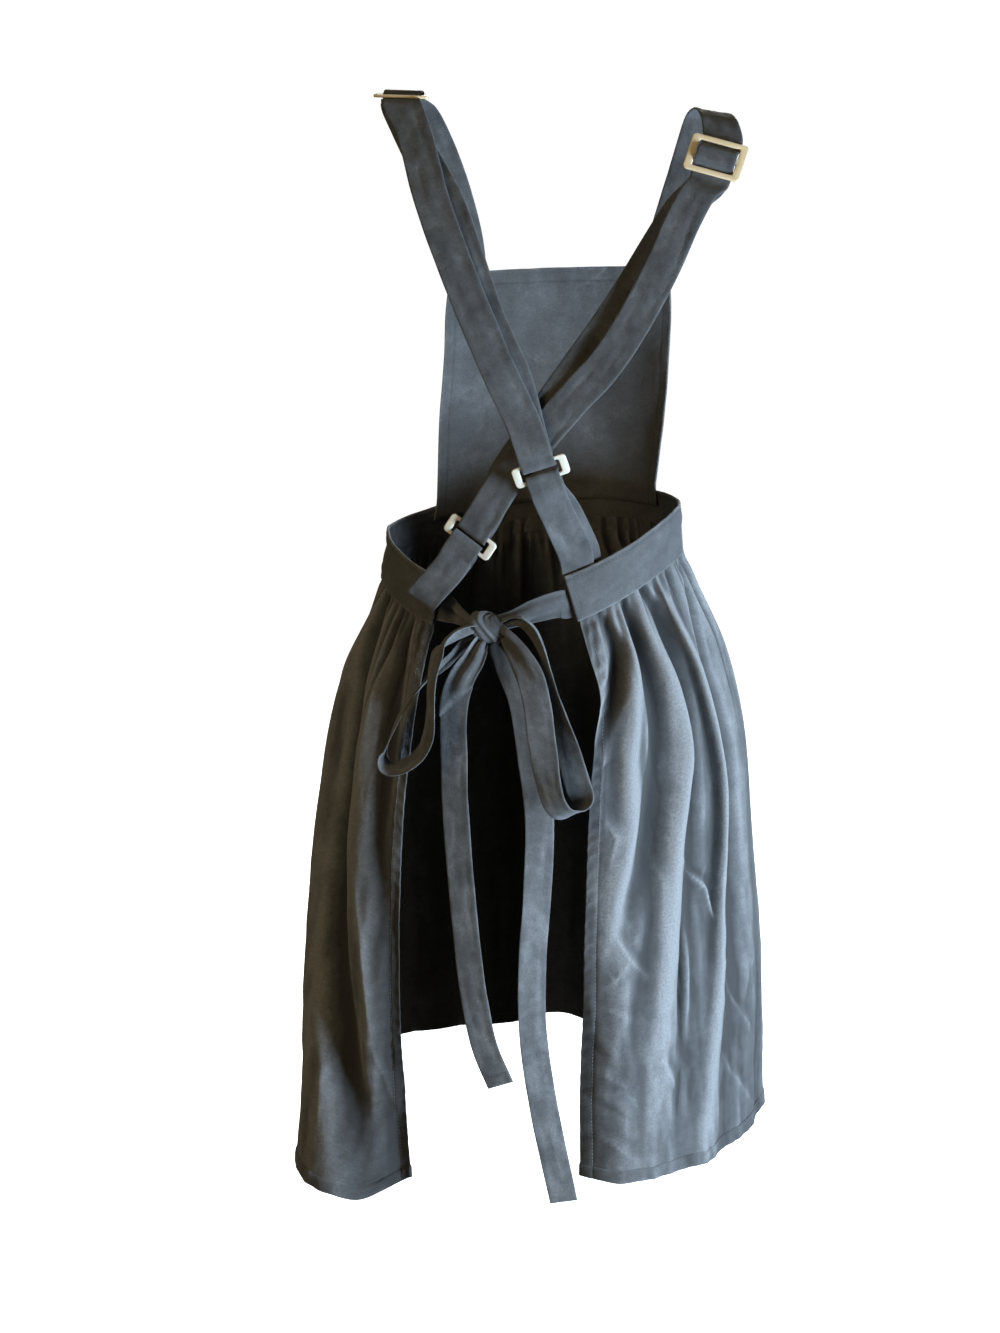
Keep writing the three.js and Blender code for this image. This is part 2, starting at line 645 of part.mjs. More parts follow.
const cloth = new THREE.MeshStandardMaterial({ color: 0x686b70, roughness: 0.92, metalness: 0 });
const cream = new THREE.MeshStandardMaterial({ color: 0xe6dcc4, roughness: 0.4, metalness: 0 });
const white = new THREE.MeshStandardMaterial({ color: 0xeeece6, roughness: 0.35, metalness: 0 });

const apron = new THREE.Group();
apron.name = 'apron';

function addPiece(name, geometry, material) {
  const mesh = new THREE.Mesh(geometry, material);
  mesh.name = name;
  apron.add(mesh);
}

addPiece('skirt', skirt(), cloth);
addPiece('waistband', waistband(), cloth);
addPiece('bib', bib(), cloth);
for (const side of ['left', 'right']) {
  addPiece(`strap_${side}`, strap(side), cloth);
  addPiece(`slider_${side}`, slider(placeOf(SLIDER_PLACES[side])), cream);
  addPiece(`ring_${side}`, ring(placeOf(RING_PLACES[side])), white);
  addPiece(`back_loop_${side}`, backLoop(side), cloth);
}
addPiece('tie_left', tieLeft(), cloth);
addPiece('tie_right', tieRight(), cloth);

export default apron;
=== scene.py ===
"""Looks of a cross-back apron: gathered skirt, band, bib, crossed straps with fittings and a tied bow."""

import logging
import math
from dataclasses import dataclass, field
from enum import Enum
from typing import Any, NamedTuple, Sequence

import bpy
import numpy as np
from mathutils import Matrix, Vector


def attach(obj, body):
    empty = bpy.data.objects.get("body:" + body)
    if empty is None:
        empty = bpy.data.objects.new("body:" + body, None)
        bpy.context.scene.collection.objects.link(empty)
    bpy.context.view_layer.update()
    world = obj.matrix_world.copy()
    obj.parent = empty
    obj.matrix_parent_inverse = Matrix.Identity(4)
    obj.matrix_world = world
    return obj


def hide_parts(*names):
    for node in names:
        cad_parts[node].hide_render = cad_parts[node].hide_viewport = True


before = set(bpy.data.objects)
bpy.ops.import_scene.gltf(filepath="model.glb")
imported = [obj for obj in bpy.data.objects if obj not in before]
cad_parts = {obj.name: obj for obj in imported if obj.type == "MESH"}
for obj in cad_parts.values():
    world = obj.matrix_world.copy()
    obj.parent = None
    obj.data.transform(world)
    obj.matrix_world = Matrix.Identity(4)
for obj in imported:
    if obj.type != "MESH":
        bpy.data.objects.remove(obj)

log = logging.getLogger("apron")

MM = 0.001
BODY = "root"
UV_CLOTH = "cloth"
# Point attribute of the cloth: its wear, together with painted shade and painted highlights
WEAR_AND_SHADE = "wear_and_shade"

# Whole numbers that scatter the lattice of the soft noise, and its angles and height
SCATTER_X, SCATTER_Y, SCATTER_SEED, SCATTER_MIX = 374761393, 668265263, 1442695, 1274126177
NOISE_ANGLES = 1024
NOISE_GAIN = 1.5

# Colour sockets of a Mix node
MIX_FIRST, MIX_SECOND, MIX_RESULT = 6, 7, 2

Array = np.ndarray
Rows = Sequence[Sequence[float]]
Pair = tuple[float, float]
Triple = tuple[float, float, float]
Tint = tuple[float, float, float, float]
Faces = list[tuple[int, ...]]
Socket = bpy.types.NodeSocket
Material = bpy.types.Material


class Side(Enum):
    """The wearer's side as the open back shows it, with the sign of its X."""

    LEFT = -1
    RIGHT = 1


class Slot(Enum):
    """Material slots of the part's record."""

    CLOTH = "cloth"
    SLIDER = "slider_plastic"
    RING = "ring_plastic"


class Held(Enum):
    """How a sheet of cloth is held."""

    GATHERED = "gathered"
    HUNG = "hung"
    STRETCHED = "stretched"
    FOLDED = "folded"


# Small maths, on arrays


def mix(a: Any, b: Any, t: Any) -> Any:
    """Value between a and b at fraction t."""
    return a + (b - a) * t


def ease(low: float, high: float, x: Any) -> Any:
    """Smooth step from 0 at low to 1 at high."""
    t = np.clip((x - low) / (high - low), 0.0, 1.0)
    return t * t * (3 - 2 * t)


def bell(x: Any) -> Any:
    """Bell curve of height 1, about 1.7 wide at half height."""
    return np.exp(-x * x)


def unit(v: Array) -> Array:
    """Vectors of length 1."""
    return v / np.maximum(np.linalg.norm(v, axis=-1, keepdims=True), 1e-12)


def rounded(depth: Any, radius: float) -> Any:
    """Share of the full thickness at a depth in from a rounded edge."""
    return np.sqrt(1 - (1 - np.minimum(depth / radius, 1)) ** 2)


def cubic(t: Array, first: Array, last: Array, leaving: Array, arriving: Array) -> Array:
    """Smooth curve from a first to a last value, with its slopes at both.

    Args:
        t: place from 0 to 1.
        first: where it starts.
        last: where it ends.
        leaving: slope at the start.
        arriving: slope at the end.

    Returns:
        Points of the curve.
    """
    return (
        (2 * t**3 - 3 * t**2 + 1) * first
        + (t**3 - 2 * t**2 + t) * leaving
        + (3 * t**2 - 2 * t**3) * last
        + (t**3 - t**2) * arriving
    )


def smooth_column(rows: Rows, column: int, at: Array) -> Array:
    """Smooth value of one column of a table.

    Args:
        rows: rows whose first number is the place.
        column: which number of a row is read.
        at: places to read it at.

    Returns:
        The column's values at those places.
    """
    table = np.asarray(rows, float)
    x, y = table[:, 0], table[:, column]
    last = len(x) - 1
    low, high = np.maximum(np.arange(last + 1) - 1, 0), np.minimum(np.arange(last + 1) + 1, last)
    slope = (y[high] - y[low]) / (x[high] - x[low])
    k = np.clip(np.searchsorted(x, at, side="right") - 1, 0, last - 1)
    span = x[k + 1] - x[k]
    t = (at - x[k]) / span
    return cubic(t, y[k], y[k + 1], span * slope[k], span * slope[k + 1])


def soft_noise(x: Array, y: Array, seed: int) -> Array:
    """Smooth lattice noise, about -1 to 1, the same on every run.

    Args:
        x: first coordinate, one lattice cell to a unit.
        y: second coordinate.
        seed: picks the pattern.

    Returns:
        Noise at each place.
    """
    x, y = np.broadcast_arrays(np.asarray(x, float), np.asarray(y, float))
    xi, yi = np.floor(x).astype(np.int64), np.floor(y).astype(np.int64)
    xf, yf = x - xi, y - yi

    def corner(i: int, j: int) -> Array:
        """Share of one corner of the cell."""
        h = (xi + i) * SCATTER_X + (yi + j) * SCATTER_Y + seed * SCATTER_SEED
        h = (h ^ (h >> 13)) * SCATTER_MIX
        angle = ((h ^ (h >> 16)) & (NOISE_ANGLES - 1)) * (math.tau / NOISE_ANGLES)
        return np.cos(angle) * (xf - i) + np.sin(angle) * (yf - j)

    u, v = ease(0, 1, xf), ease(0, 1, yf)
    return NOISE_GAIN * mix(mix(corner(0, 0), corner(1, 0), u), mix(corner(0, 1), corner(1, 1), u), v)


def grid_normals(grid: Array) -> Array:
    """Unit normals of a grid of points, from its own two directions.

    Args:
        grid: points, in rows and columns.

    Returns:
        Unit normals at the points.
    """
    du = np.empty_like(grid)
    dv = np.empty_like(grid)
    du[1:-1], du[0], du[-1] = grid[2:] - grid[:-2], grid[1] - grid[0], grid[-1] - grid[-2]
    dv[:, 1:-1] = grid[:, 2:] - grid[:, :-2]
    dv[:, 0], dv[:, -1] = grid[:, 1] - grid[:, 0], grid[:, -1] - grid[:, -2]
    return unit(np.cross(du, dv))


def sin_cos(turn: Array) -> tuple[Array, Array]:
    """Sine and cosine of a turn in degrees."""
    return np.sin(np.radians(turn)), np.cos(np.radians(turn))


def running_length(line: Array) -> Array:
    """Length along a line up to each of its points."""
    return np.concatenate([[0.0], np.cumsum(np.linalg.norm(np.diff(line, axis=0), axis=1))])


def read_along(where: Array, place: Array, values: Array) -> Array:
    """Vectors that are given at some places, read at others."""
    return np.stack([np.interp(where, place, values[:, k]) for k in range(3)], axis=1)


# Meshes


@dataclass
class Cloth:
    """Points, faces, cloth coordinates and wear with painted shade and highlights of one piece of cloth, in
    mm.
    """

    points: Array
    faces: Faces
    uv: list[Pair]
    wear_and_shade: Array

    def joined(self, other: "Cloth") -> "Cloth":
        """This cloth and another as one."""
        first = len(self.points)
        return Cloth(
            np.concatenate([self.points, other.points]),
            self.faces + [tuple(k + first for k in f) for f in other.faces],
            self.uv + other.uv,
            np.concatenate([self.wear_and_shade, other.wear_and_shade]),
        )

    def object(self, name: str) -> bpy.types.Object:
        """A smooth mesh object of this cloth.

        Args:
            name: the piece's name.

        Returns:
            The object, at the origin, in metres.
        """
        mesh = bpy.data.meshes.new(name)
        mesh.from_pydata((self.points * MM).tolist(), [], self.faces)
        layer = mesh.uv_layers.new(name=UV_CLOTH)
        layer.uv.foreach_set("vector", (np.asarray(self.uv, np.float32) * MM).ravel())
        worn_and_shaded = mesh.attributes.new(WEAR_AND_SHADE, "FLOAT", "POINT")
        worn_and_shaded.data.foreach_set("value", self.wear_and_shade.astype(np.float32).ravel())
        mesh.polygons.foreach_set("use_smooth", np.ones(len(mesh.polygons), bool))
        mesh.update()
        piece = bpy.data.objects.new(name, mesh)
        bpy.context.scene.collection.objects.link(piece)
        return piece


def all_joined(pieces: Sequence[Cloth]) -> Cloth:
    """Several cloths as one, in their order."""
    made = pieces[0]
    for piece in pieces[1:]:
        made = made.joined(piece)
    return made


def shell(grid: Array, half: Array, across: Array, along: Array, wear_and_shade: Array) -> Cloth:
    """Closed soft wall about a grid of points.

    Args:
        grid: points of the middle surface, along then across.
        half: half of the wall's thickness at each point, 0 at both long edges.
        across: cloth coordinate across, for each point of a row.
        along: cloth coordinate along, for each row.
        wear_and_shade: wear with painted shade and highlights at each point.

    Returns:
        The wall, with the second face's cloth coordinates beyond the first's.
    """
    rows, cols = half.shape
    lift = grid_normals(grid) * half[..., None]
    ring = 2 * cols - 2
    points = np.concatenate([grid + lift, (grid - lift)[:, -2:0:-1]], axis=1)
    worn_and_shaded = np.concatenate([wear_and_shade, wear_and_shade[:, -2:0:-1]], axis=1)
    place = np.concatenate([across, 2 * across[-1] - across[-2::-1]])
    faces, uv = [], []
    for i in range(rows - 1):
        for k in range(ring):
            n = (k + 1) % ring
            faces.append((i * ring + k, i * ring + n, (i + 1) * ring + n, (i + 1) * ring + k))
            uv += [(place[k], along[i]), (place[k + 1], along[i])]
            uv += [(place[k + 1], along[i + 1]), (place[k], along[i + 1])]
    for i, first in ((0, 0), (rows - 1, (rows - 1) * ring)):
        for j in range(cols - 1):
            under = [(ring - j) % ring, ring - j - 1]
            cap = (first + j, first + under[0], first + under[1], first + j + 1)
            if j == 0:
                cap = (first, first + ring - 1, first + 1)
            elif j == cols - 2:
                cap = (first + j, first + under[0], first + j + 1)
            faces.append(cap if i == 0 else cap[::-1])
            uv += [(across[j], along[i])] * len(cap)
    return Cloth(points.reshape(-1, 3), faces, uv, worn_and_shaded.reshape(-1))


@dataclass
class Stitching:
    """Rows of sewing thread, each stitch a small rounded lozenge.

    The profile's rows are the place along, the girth and the dip of a stitch, as shares of its size.
    """

    pitch: float = 3.1
    length: float = 2.3
    radius: float = 0.26
    sink: float = 0.06
    wear_and_shade: float = 0.75
    profile: Rows = ((-0.5, 0.3, -0.9), (-0.28, 1.0, 0.0), (0.28, 1.0, 0.0), (0.5, 0.3, -0.9))
    corners: Rows = ((1, 0), (0, 1), (-1, 0), (0, -1))

    def row(self, line: Array, normals: Array) -> Cloth:
        """Stitches along a line.

        Args:
            line: points of the seam, on the cloth's face.
            normals: way out of the cloth at those points.

        Returns:
            The stitches as one cloth.
        """
        place = running_length(line)
        count = max(int(place[-1] / self.pitch), 2)
        middles = (np.arange(count) + 0.5) * place[-1] / count
        out = unit(read_along(middles, place, normals))
        run = unit(read_along(middles + 0.5, place, line) - read_along(middles - 0.5, place, line))
        side = np.cross(run, out)
        centre = read_along(middles, place, line) + out * (self.radius - self.sink)
        rings = [
            centre + run * s * self.length + (out * (dip + girth * up) + side * girth * aside) * self.radius
            for s, girth, dip in self.profile
            for aside, up in self.corners
        ]
        points = np.stack(rings, axis=1).reshape(-1, 3)
        sides, last_ring = len(self.corners), len(self.profile) - 1
        faces: Faces = []
        for n in range(len(middles)):
            first = n * len(rings)
            for r in range(last_ring):
                low, high = first + sides * r, first + sides * (r + 1)
                for k in range(sides):
                    m = (k + 1) % sides
                    faces.append((low + k, low + m, high + m, high + k))
            last = first + sides * last_ring
            faces.append(tuple(range(first, first + sides))[::-1])
            faces.append(tuple(range(last, last + sides)))
        uv = [(0.0, 0.0)] * (len(faces) * sides)
        return Cloth(points, faces, uv, np.full(len(points), self.wear_and_shade))


# Shading


class Value:
    """A shader socket that takes part in Python expressions on numbers."""

    def __init__(self, shader: "Shader", socket: Socket) -> None:
        """Wraps a socket of a shader."""
        self.shader = shader
        self.socket = socket

    def _math(self, operation: str, first: Any, second: Any) -> "Value":
        """Math node on two values."""
        node = self.shader.node("ShaderNodeMath", {"operation": operation}, {0: first, 1: second})
        return Value(self.shader, node.outputs[0])

    def __add__(self, other: Any) -> "Value":
        """Sum."""
        return self._math("ADD", self, other)

    __radd__ = __add__

    def __sub__(self, other: Any) -> "Value":
        """Difference."""
        return self._math("SUBTRACT", self, other)

    def __rsub__(self, other: Any) -> "Value":
        """Difference from a number."""
        return self._math("SUBTRACT", other, self)

    def __mul__(self, other: Any) -> "Value":
        """Product."""
        return self._math("MULTIPLY", self, other)

    __rmul__ = __mul__

    def __pow__(self, other: Any) -> "Value":
        """Power."""
        return self._math("POWER", self, other)

    def sine(self) -> "Value":
        """Sine of the value."""
        return self._math("SINE", self, 0.0)

    def clamped(self) -> "Value":
        """Value kept between 0 and 1."""
        node = self.shader.node("ShaderNodeClamp", {}, {"Value": self})
        return Value(self.shader, node.outputs[0])


class Shader:
    """Node tree of one material."""

    def __init__(self, name: str) -> None:
        """Makes the material with an empty Principled surface."""
        self.material = bpy.data.materials.new(name)
        self.material.use_nodes = True
        self.tree = self.material.node_tree
        self.surface = self.tree.nodes["Principled BSDF"]

    def node(self, kind: str, settings: dict[str, Any], inputs: dict[Any, Any]) -> bpy.types.Node:
        """Adds a node.

        Args:
            kind: the node's type.
            settings: its properties; "stops" are a ramp's places and colours.
            inputs: values or links of its sockets.

        Returns:
            The node.
        """
        node = self.tree.nodes.new(kind)
        for key, value in settings.items():
            if key == "stops":
                ramp = node.color_ramp
                for k, (place, colour) in enumerate(value):
                    stop = ramp.elements[k] if k < 2 else ramp.elements.new(place)
                    stop.position, stop.color = place, (*colour, 1.0)
            else:
                setattr(node, key, value)
        for key, value in inputs.items():
            self.put(node.inputs[key], value)
        return node

    def put(self, socket: Socket, value: Any) -> None:
        """Links a value or a socket to a socket, or sets it."""
        if isinstance(value, Value):
            value = value.socket
        if isinstance(value, Socket):
            self.tree.links.new(value, socket)
        else:
            socket.default_value = value

    def noise(self, where: Socket, scale: float, detail: float = 2.0) -> Value:
        """Noise of about 0.5 at a scale, on given coordinates."""
        node = self.node("ShaderNodeTexNoise", {}, {"Vector": where, "Scale": scale, "Detail": detail})
        return Value(self, node.outputs["Fac"])

    def blend(self, factor: Value, first: Any, second: Any) -> Socket:
        """Mix of two colours.

        Args:
            factor: share of the second colour.
            first: colour at 0.
            second: colour at 1.

        Returns:
            The mixed colour's socket.
        """
        node = self.node("ShaderNodeMix", {"data_type": "RGBA"}, {"Factor": factor})
        for socket, colour in ((MIX_FIRST, first), (MIX_SECOND, second)):
            linked = isinstance(colour, Socket)
            self.put(node.inputs[socket], colour if linked else (*colour, 1.0))
        return node.outputs[MIX_RESULT]

    def vector(self, operation: str, inputs: dict[Any, Any]) -> Socket:
        """Result of a Vector Math node."""
        return self.node("ShaderNodeVectorMath", {"operation": operation}, inputs).outputs["Vector"]

    def place(self) -> Socket:
        """Object coordinates."""
        return self.node("ShaderNodeTexCoord", {}, {}).outputs["Object"]

    def bump(self, height: Value, strength: float, distance_mm: float) -> Socket:
        """Normal of a surface with a height."""
        inputs = {"Strength": strength, "Distance": distance_mm * MM, "Height": height}
        return self.node("ShaderNodeBump", {}, inputs).outputs["Normal"]

    def dress(self, inputs: dict[str, Any]) -> Material:
        """Sets or links sockets of the surface, and gives the material."""
        for key, value in inputs.items():
            self.put(self.surface.inputs[key], value)
        return self.material


@dataclass(frozen=True)
class WashedCotton:
    """Washed, softly brushed cotton: plain weave, faded edges, painted highlights on ridges, painted shade
    in hollows. Scales are to a metre.
    """

    name: str = "washed_cotton"
    deep: Triple = (0.02, 0.0205, 0.0215)
    colour: Triple = (0.064, 0.0665, 0.07)
    faded_and_highlit: Triple = (0.155, 0.161, 0.169)
    fade_stops: Triple = (0.08, 0.5, 0.92)
    speck_share: float = 0.5
    thread_mm: float = 0.62
    thread_play: float = 2.2
    slub_scale: float = 420.0
    fibre_scale: float = 1400.0
    fleck_scale: float = 520.0
    crinkle_scale: float = 150.0
    mottle_scale: float = 34.0
    cloud_scale: float = 7.0
    crease_scale: float = 26.0
    crease_shape: Triple = (1.0, 0.6, 1.0)
    crease_sharp: float = 11.0
    waver_scale: float = 45.0
    waver: float = 0.022
    break_scale: float = 21.0
    bump_strength: float = 0.6
    bump_mm: float = 1.1
    roughness: float = 0.86
    rough_play: float = 0.12
    specular: float = 0.25
    sheen: float = 0.12
    sheen_roughness: float = 0.45
    sheen_tint: Tint = (0.82, 0.88, 0.96, 1.0)

    def make(self) -> Material:
        """The cloth's material, on its own cloth coordinates in metres."""
        shader = Shader(self.name)
        cloth = shader.node("ShaderNodeUVMap", {"uv_map": UV_CLOTH}, {}).outputs["UV"]
        split = shader.node("ShaderNodeSeparateXYZ", {}, {"Vector": cloth})
        turns = math.tau / (self.thread_mm * MM)
        slub = shader.noise(cloth, self.slub_scale) * self.thread_play
        warp, weft = ((Value(shader, split.outputs[k]) * turns + slub).sine() for k in (0, 1))
        weave = warp * weft
        fibre = shader.noise(cloth, self.fibre_scale)
        fleck = shader.noise(cloth, self.fleck_scale, 3.0)
        crinkle = shader.noise(cloth, self.crinkle_scale, 3.0)
        mottle = shader.noise(cloth, self.mottle_scale, 4.0)
        cloudy = shader.noise(shader.place(), self.cloud_scale, 3.0)
        crease = self.creases(shader, cloth)
        # The attribute holds wear with painted shade and painted highlights; the ramp turns it into colour,
        # from deep through colour to the faded and highlit end.
        attribute = shader.node("ShaderNodeAttribute", {"attribute_name": WEAR_AND_SHADE}, {})
        wear_and_shade = Value(shader, attribute.outputs["Fac"])
        fade = wear_and_shade + (mottle - 0.5) * 0.55 + (cloudy - 0.5) * 0.35 + (crinkle - 0.5) * 0.25 + crease * 0.1
        low, middle, high = self.fade_stops
        stops = [(low, self.deep), (high, self.faded_and_highlit), (middle, self.colour)]
        ramp = shader.node("ShaderNodeValToRGB", {"stops": stops}, {"Fac": fade.clamped()})
        speck = ((fleck - 0.5) * 1.8 + (fibre - 0.5) * 1.0 + weave * 0.12 + 0.42).clamped()
        height = weave * 0.12 + fibre * 0.2 + fleck * 0.24 + crinkle * 0.9 + mottle * 1.1 + crease * 0.6
        return shader.dress({
            "Base Color": shader.blend(speck * self.speck_share, ramp.outputs["Color"], self.deep),
            "Roughness": (self.roughness - self.rough_play / 2) + mottle * self.rough_play,
            "Normal": shader.bump(height, self.bump_strength, self.bump_mm),
            "Sheen Weight": self.sheen,
            "Sheen Roughness": self.sheen_roughness,
            "Sheen Tint": self.sheen_tint,
            "Specular IOR Level": self.specular,
        })

    def creases(self, shader: Shader, cloth: Socket) -> Value:
        """Fine wash creases: broken lines along the edges of wavering cells."""
        inputs = {"Vector": cloth, "Scale": self.waver_scale, "Detail": 2.0}
        waver = shader.node("ShaderNodeTexNoise", {}, inputs)
        small = shader.vector("SCALE", {0: waver.outputs["Color"], "Scale": self.waver})
        moved = shader.vector("ADD", {0: cloth, 1: small})
        long = shader.vector("MULTIPLY", {0: moved, 1: self.crease_shape})
        cells = shader.node(
            "ShaderNodeTexVoronoi",
            {"feature": "DISTANCE_TO_EDGE"},
            {"Vector": long, "Scale": self.crease_scale},
        )
        line = (1.0 - Value(shader, cells.outputs["Distance"]) * self.crease_sharp).clamped() ** 2.0
        broken = ((shader.noise(cloth, self.break_scale) - 0.52) * 7.0).clamped()
        return line * broken


@dataclass(frozen=True)
class Thread:
    """Matt sewing thread, a little lighter than the cloth."""

    name: str = "sewing_thread"
    colour: Triple = (0.095, 0.1, 0.107)
    shade: float = 0.6
    twist_scale: float = 2600.0
    roughness: float = 0.7

    def make(self) -> Material:
        """The thread's material."""
        shader = Shader(self.name)
        twist = shader.noise(shader.place(), self.twist_scale)
        dark = tuple(c * self.shade for c in self.colour)
        tint = shader.blend(twist, dark, self.colour)
        return shader.dress({"Base Color": tint, "Roughness": self.roughness})


@dataclass(frozen=True)
class MouldedPlastic:
    """Matt moulded plastic with a faint flow pattern and a fine grain."""

    name: str
    colour: Triple
    shade: Triple
    roughness: float
    flow_scale: float = 60.0
    grain_scale: float = 1800.0
    rough_play: float = 0.16
    bump_strength: float = 0.2
    bump_mm: float = 0.3
    glow_through: float = 0.15
    glow_mm: float = 2.0

    def make(self) -> Material:
        """The plastic's material."""
        shader = Shader(self.name)
        place = shader.place()
        flow = shader.noise(place, self.flow_scale, 3.0)
        grain = shader.noise(place, self.grain_scale)
        return shader.dress({
            "Base Color": shader.blend(flow, self.shade, self.colour),
            "Roughness": (self.roughness - self.rough_play / 2) + grain * self.rough_play,
            "Normal": shader.bump(grain, self.bump_strength, self.bump_mm),
            "Subsurface Weight": self.glow_through,
            "Subsurface Scale": self.glow_mm * MM,
        })


CREAM_PLASTIC = MouldedPlastic("cream_plastic", (0.52, 0.42, 0.27), (0.42, 0.33, 0.2), 0.45)
PALE_PLASTIC = MouldedPlastic("pale_plastic", (0.44, 0.42, 0.36), (0.35, 0.33, 0.28), 0.42)


@dataclass
class Finishes:
    """The apron's finishes, made once."""

    cloth: Material = field(default_factory=WashedCotton().make)
    thread: Material = field(default_factory=Thread().make)
    slider: Material = field(default_factory=CREAM_PLASTIC.make)
    ring: Material = field(default_factory=PALE_PLASTIC.make)


def seat(
    piece: bpy.types.Object, material: Material, nodes: Sequence[str] = ()
) -> None:
    """Dresses a piece and sets it in the frame.

    Args:
        piece: the finished object.
        material: its finish.
        nodes: solids that the piece stands for.
    """
    piece.data.materials.clear()
    piece.data.materials.append(material)
    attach(piece, BODY)
    if nodes:
        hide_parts(*nodes)
    log.info("%s: %d faces", piece.name, len(piece.data.polygons))


# Waist


@dataclass
class Waist:
    """Ellipse that the band goes round, in mm.

    Turns are degrees from the middle of the back, by the left side.
    """

    half_width: float = 119.0
    half_depth: float = 93.0
    centre: Pair = (-2.0, 5.0)
    level: float = -323.0
    tilt: float = 0.14
    back_droop: float = 40.0
    front_rise: float = 8.0
    height: float = 40.0
    flare: float = 4.0

    def top(self, turn: Array) -> Array:
        """Height of the band's upper edge."""
        side, back = sin_cos(turn)
        x = self.centre[0] - self.half_width * side
        sag = np.where(back > 0, -self.back_droop, self.front_rise) * back * back
        return self.level + self.tilt * x + sag

    def point(self, turn: Array, down: Array) -> Array:
        """Points of the band's middle surface.

        Args:
            turn: turns round the waist.
            down: places down the band.

        Returns:
            Points in mm.
        """
        side, back = sin_cos(turn)
        grow = self.flare * down
        x = self.centre[0] - (self.half_width + grow) * side
        y = self.centre[1] - (self.half_depth + grow) * back
        return np.stack(np.broadcast_arrays(x, y, self.top(turn) - self.height * down), axis=-1)

    def outward(self, turn: Array) -> Array:
        """Way out of the band."""
        side, back = sin_cos(turn)
        ways = [-side / self.half_width, -back / self.half_depth, np.zeros_like(side)]
        flat = unit(np.stack(ways, axis=-1)) * self.height
        flat[..., 2] = self.flare
        return unit(flat)


class Drag(NamedTuple):
    """Slanting pull in the band: turn and fraction down of its ends, its height in mm and its half-width."""

    turn_a: float
    down_a: float
    turn_b: float
    down_b: float
    rise: float
    spread: float


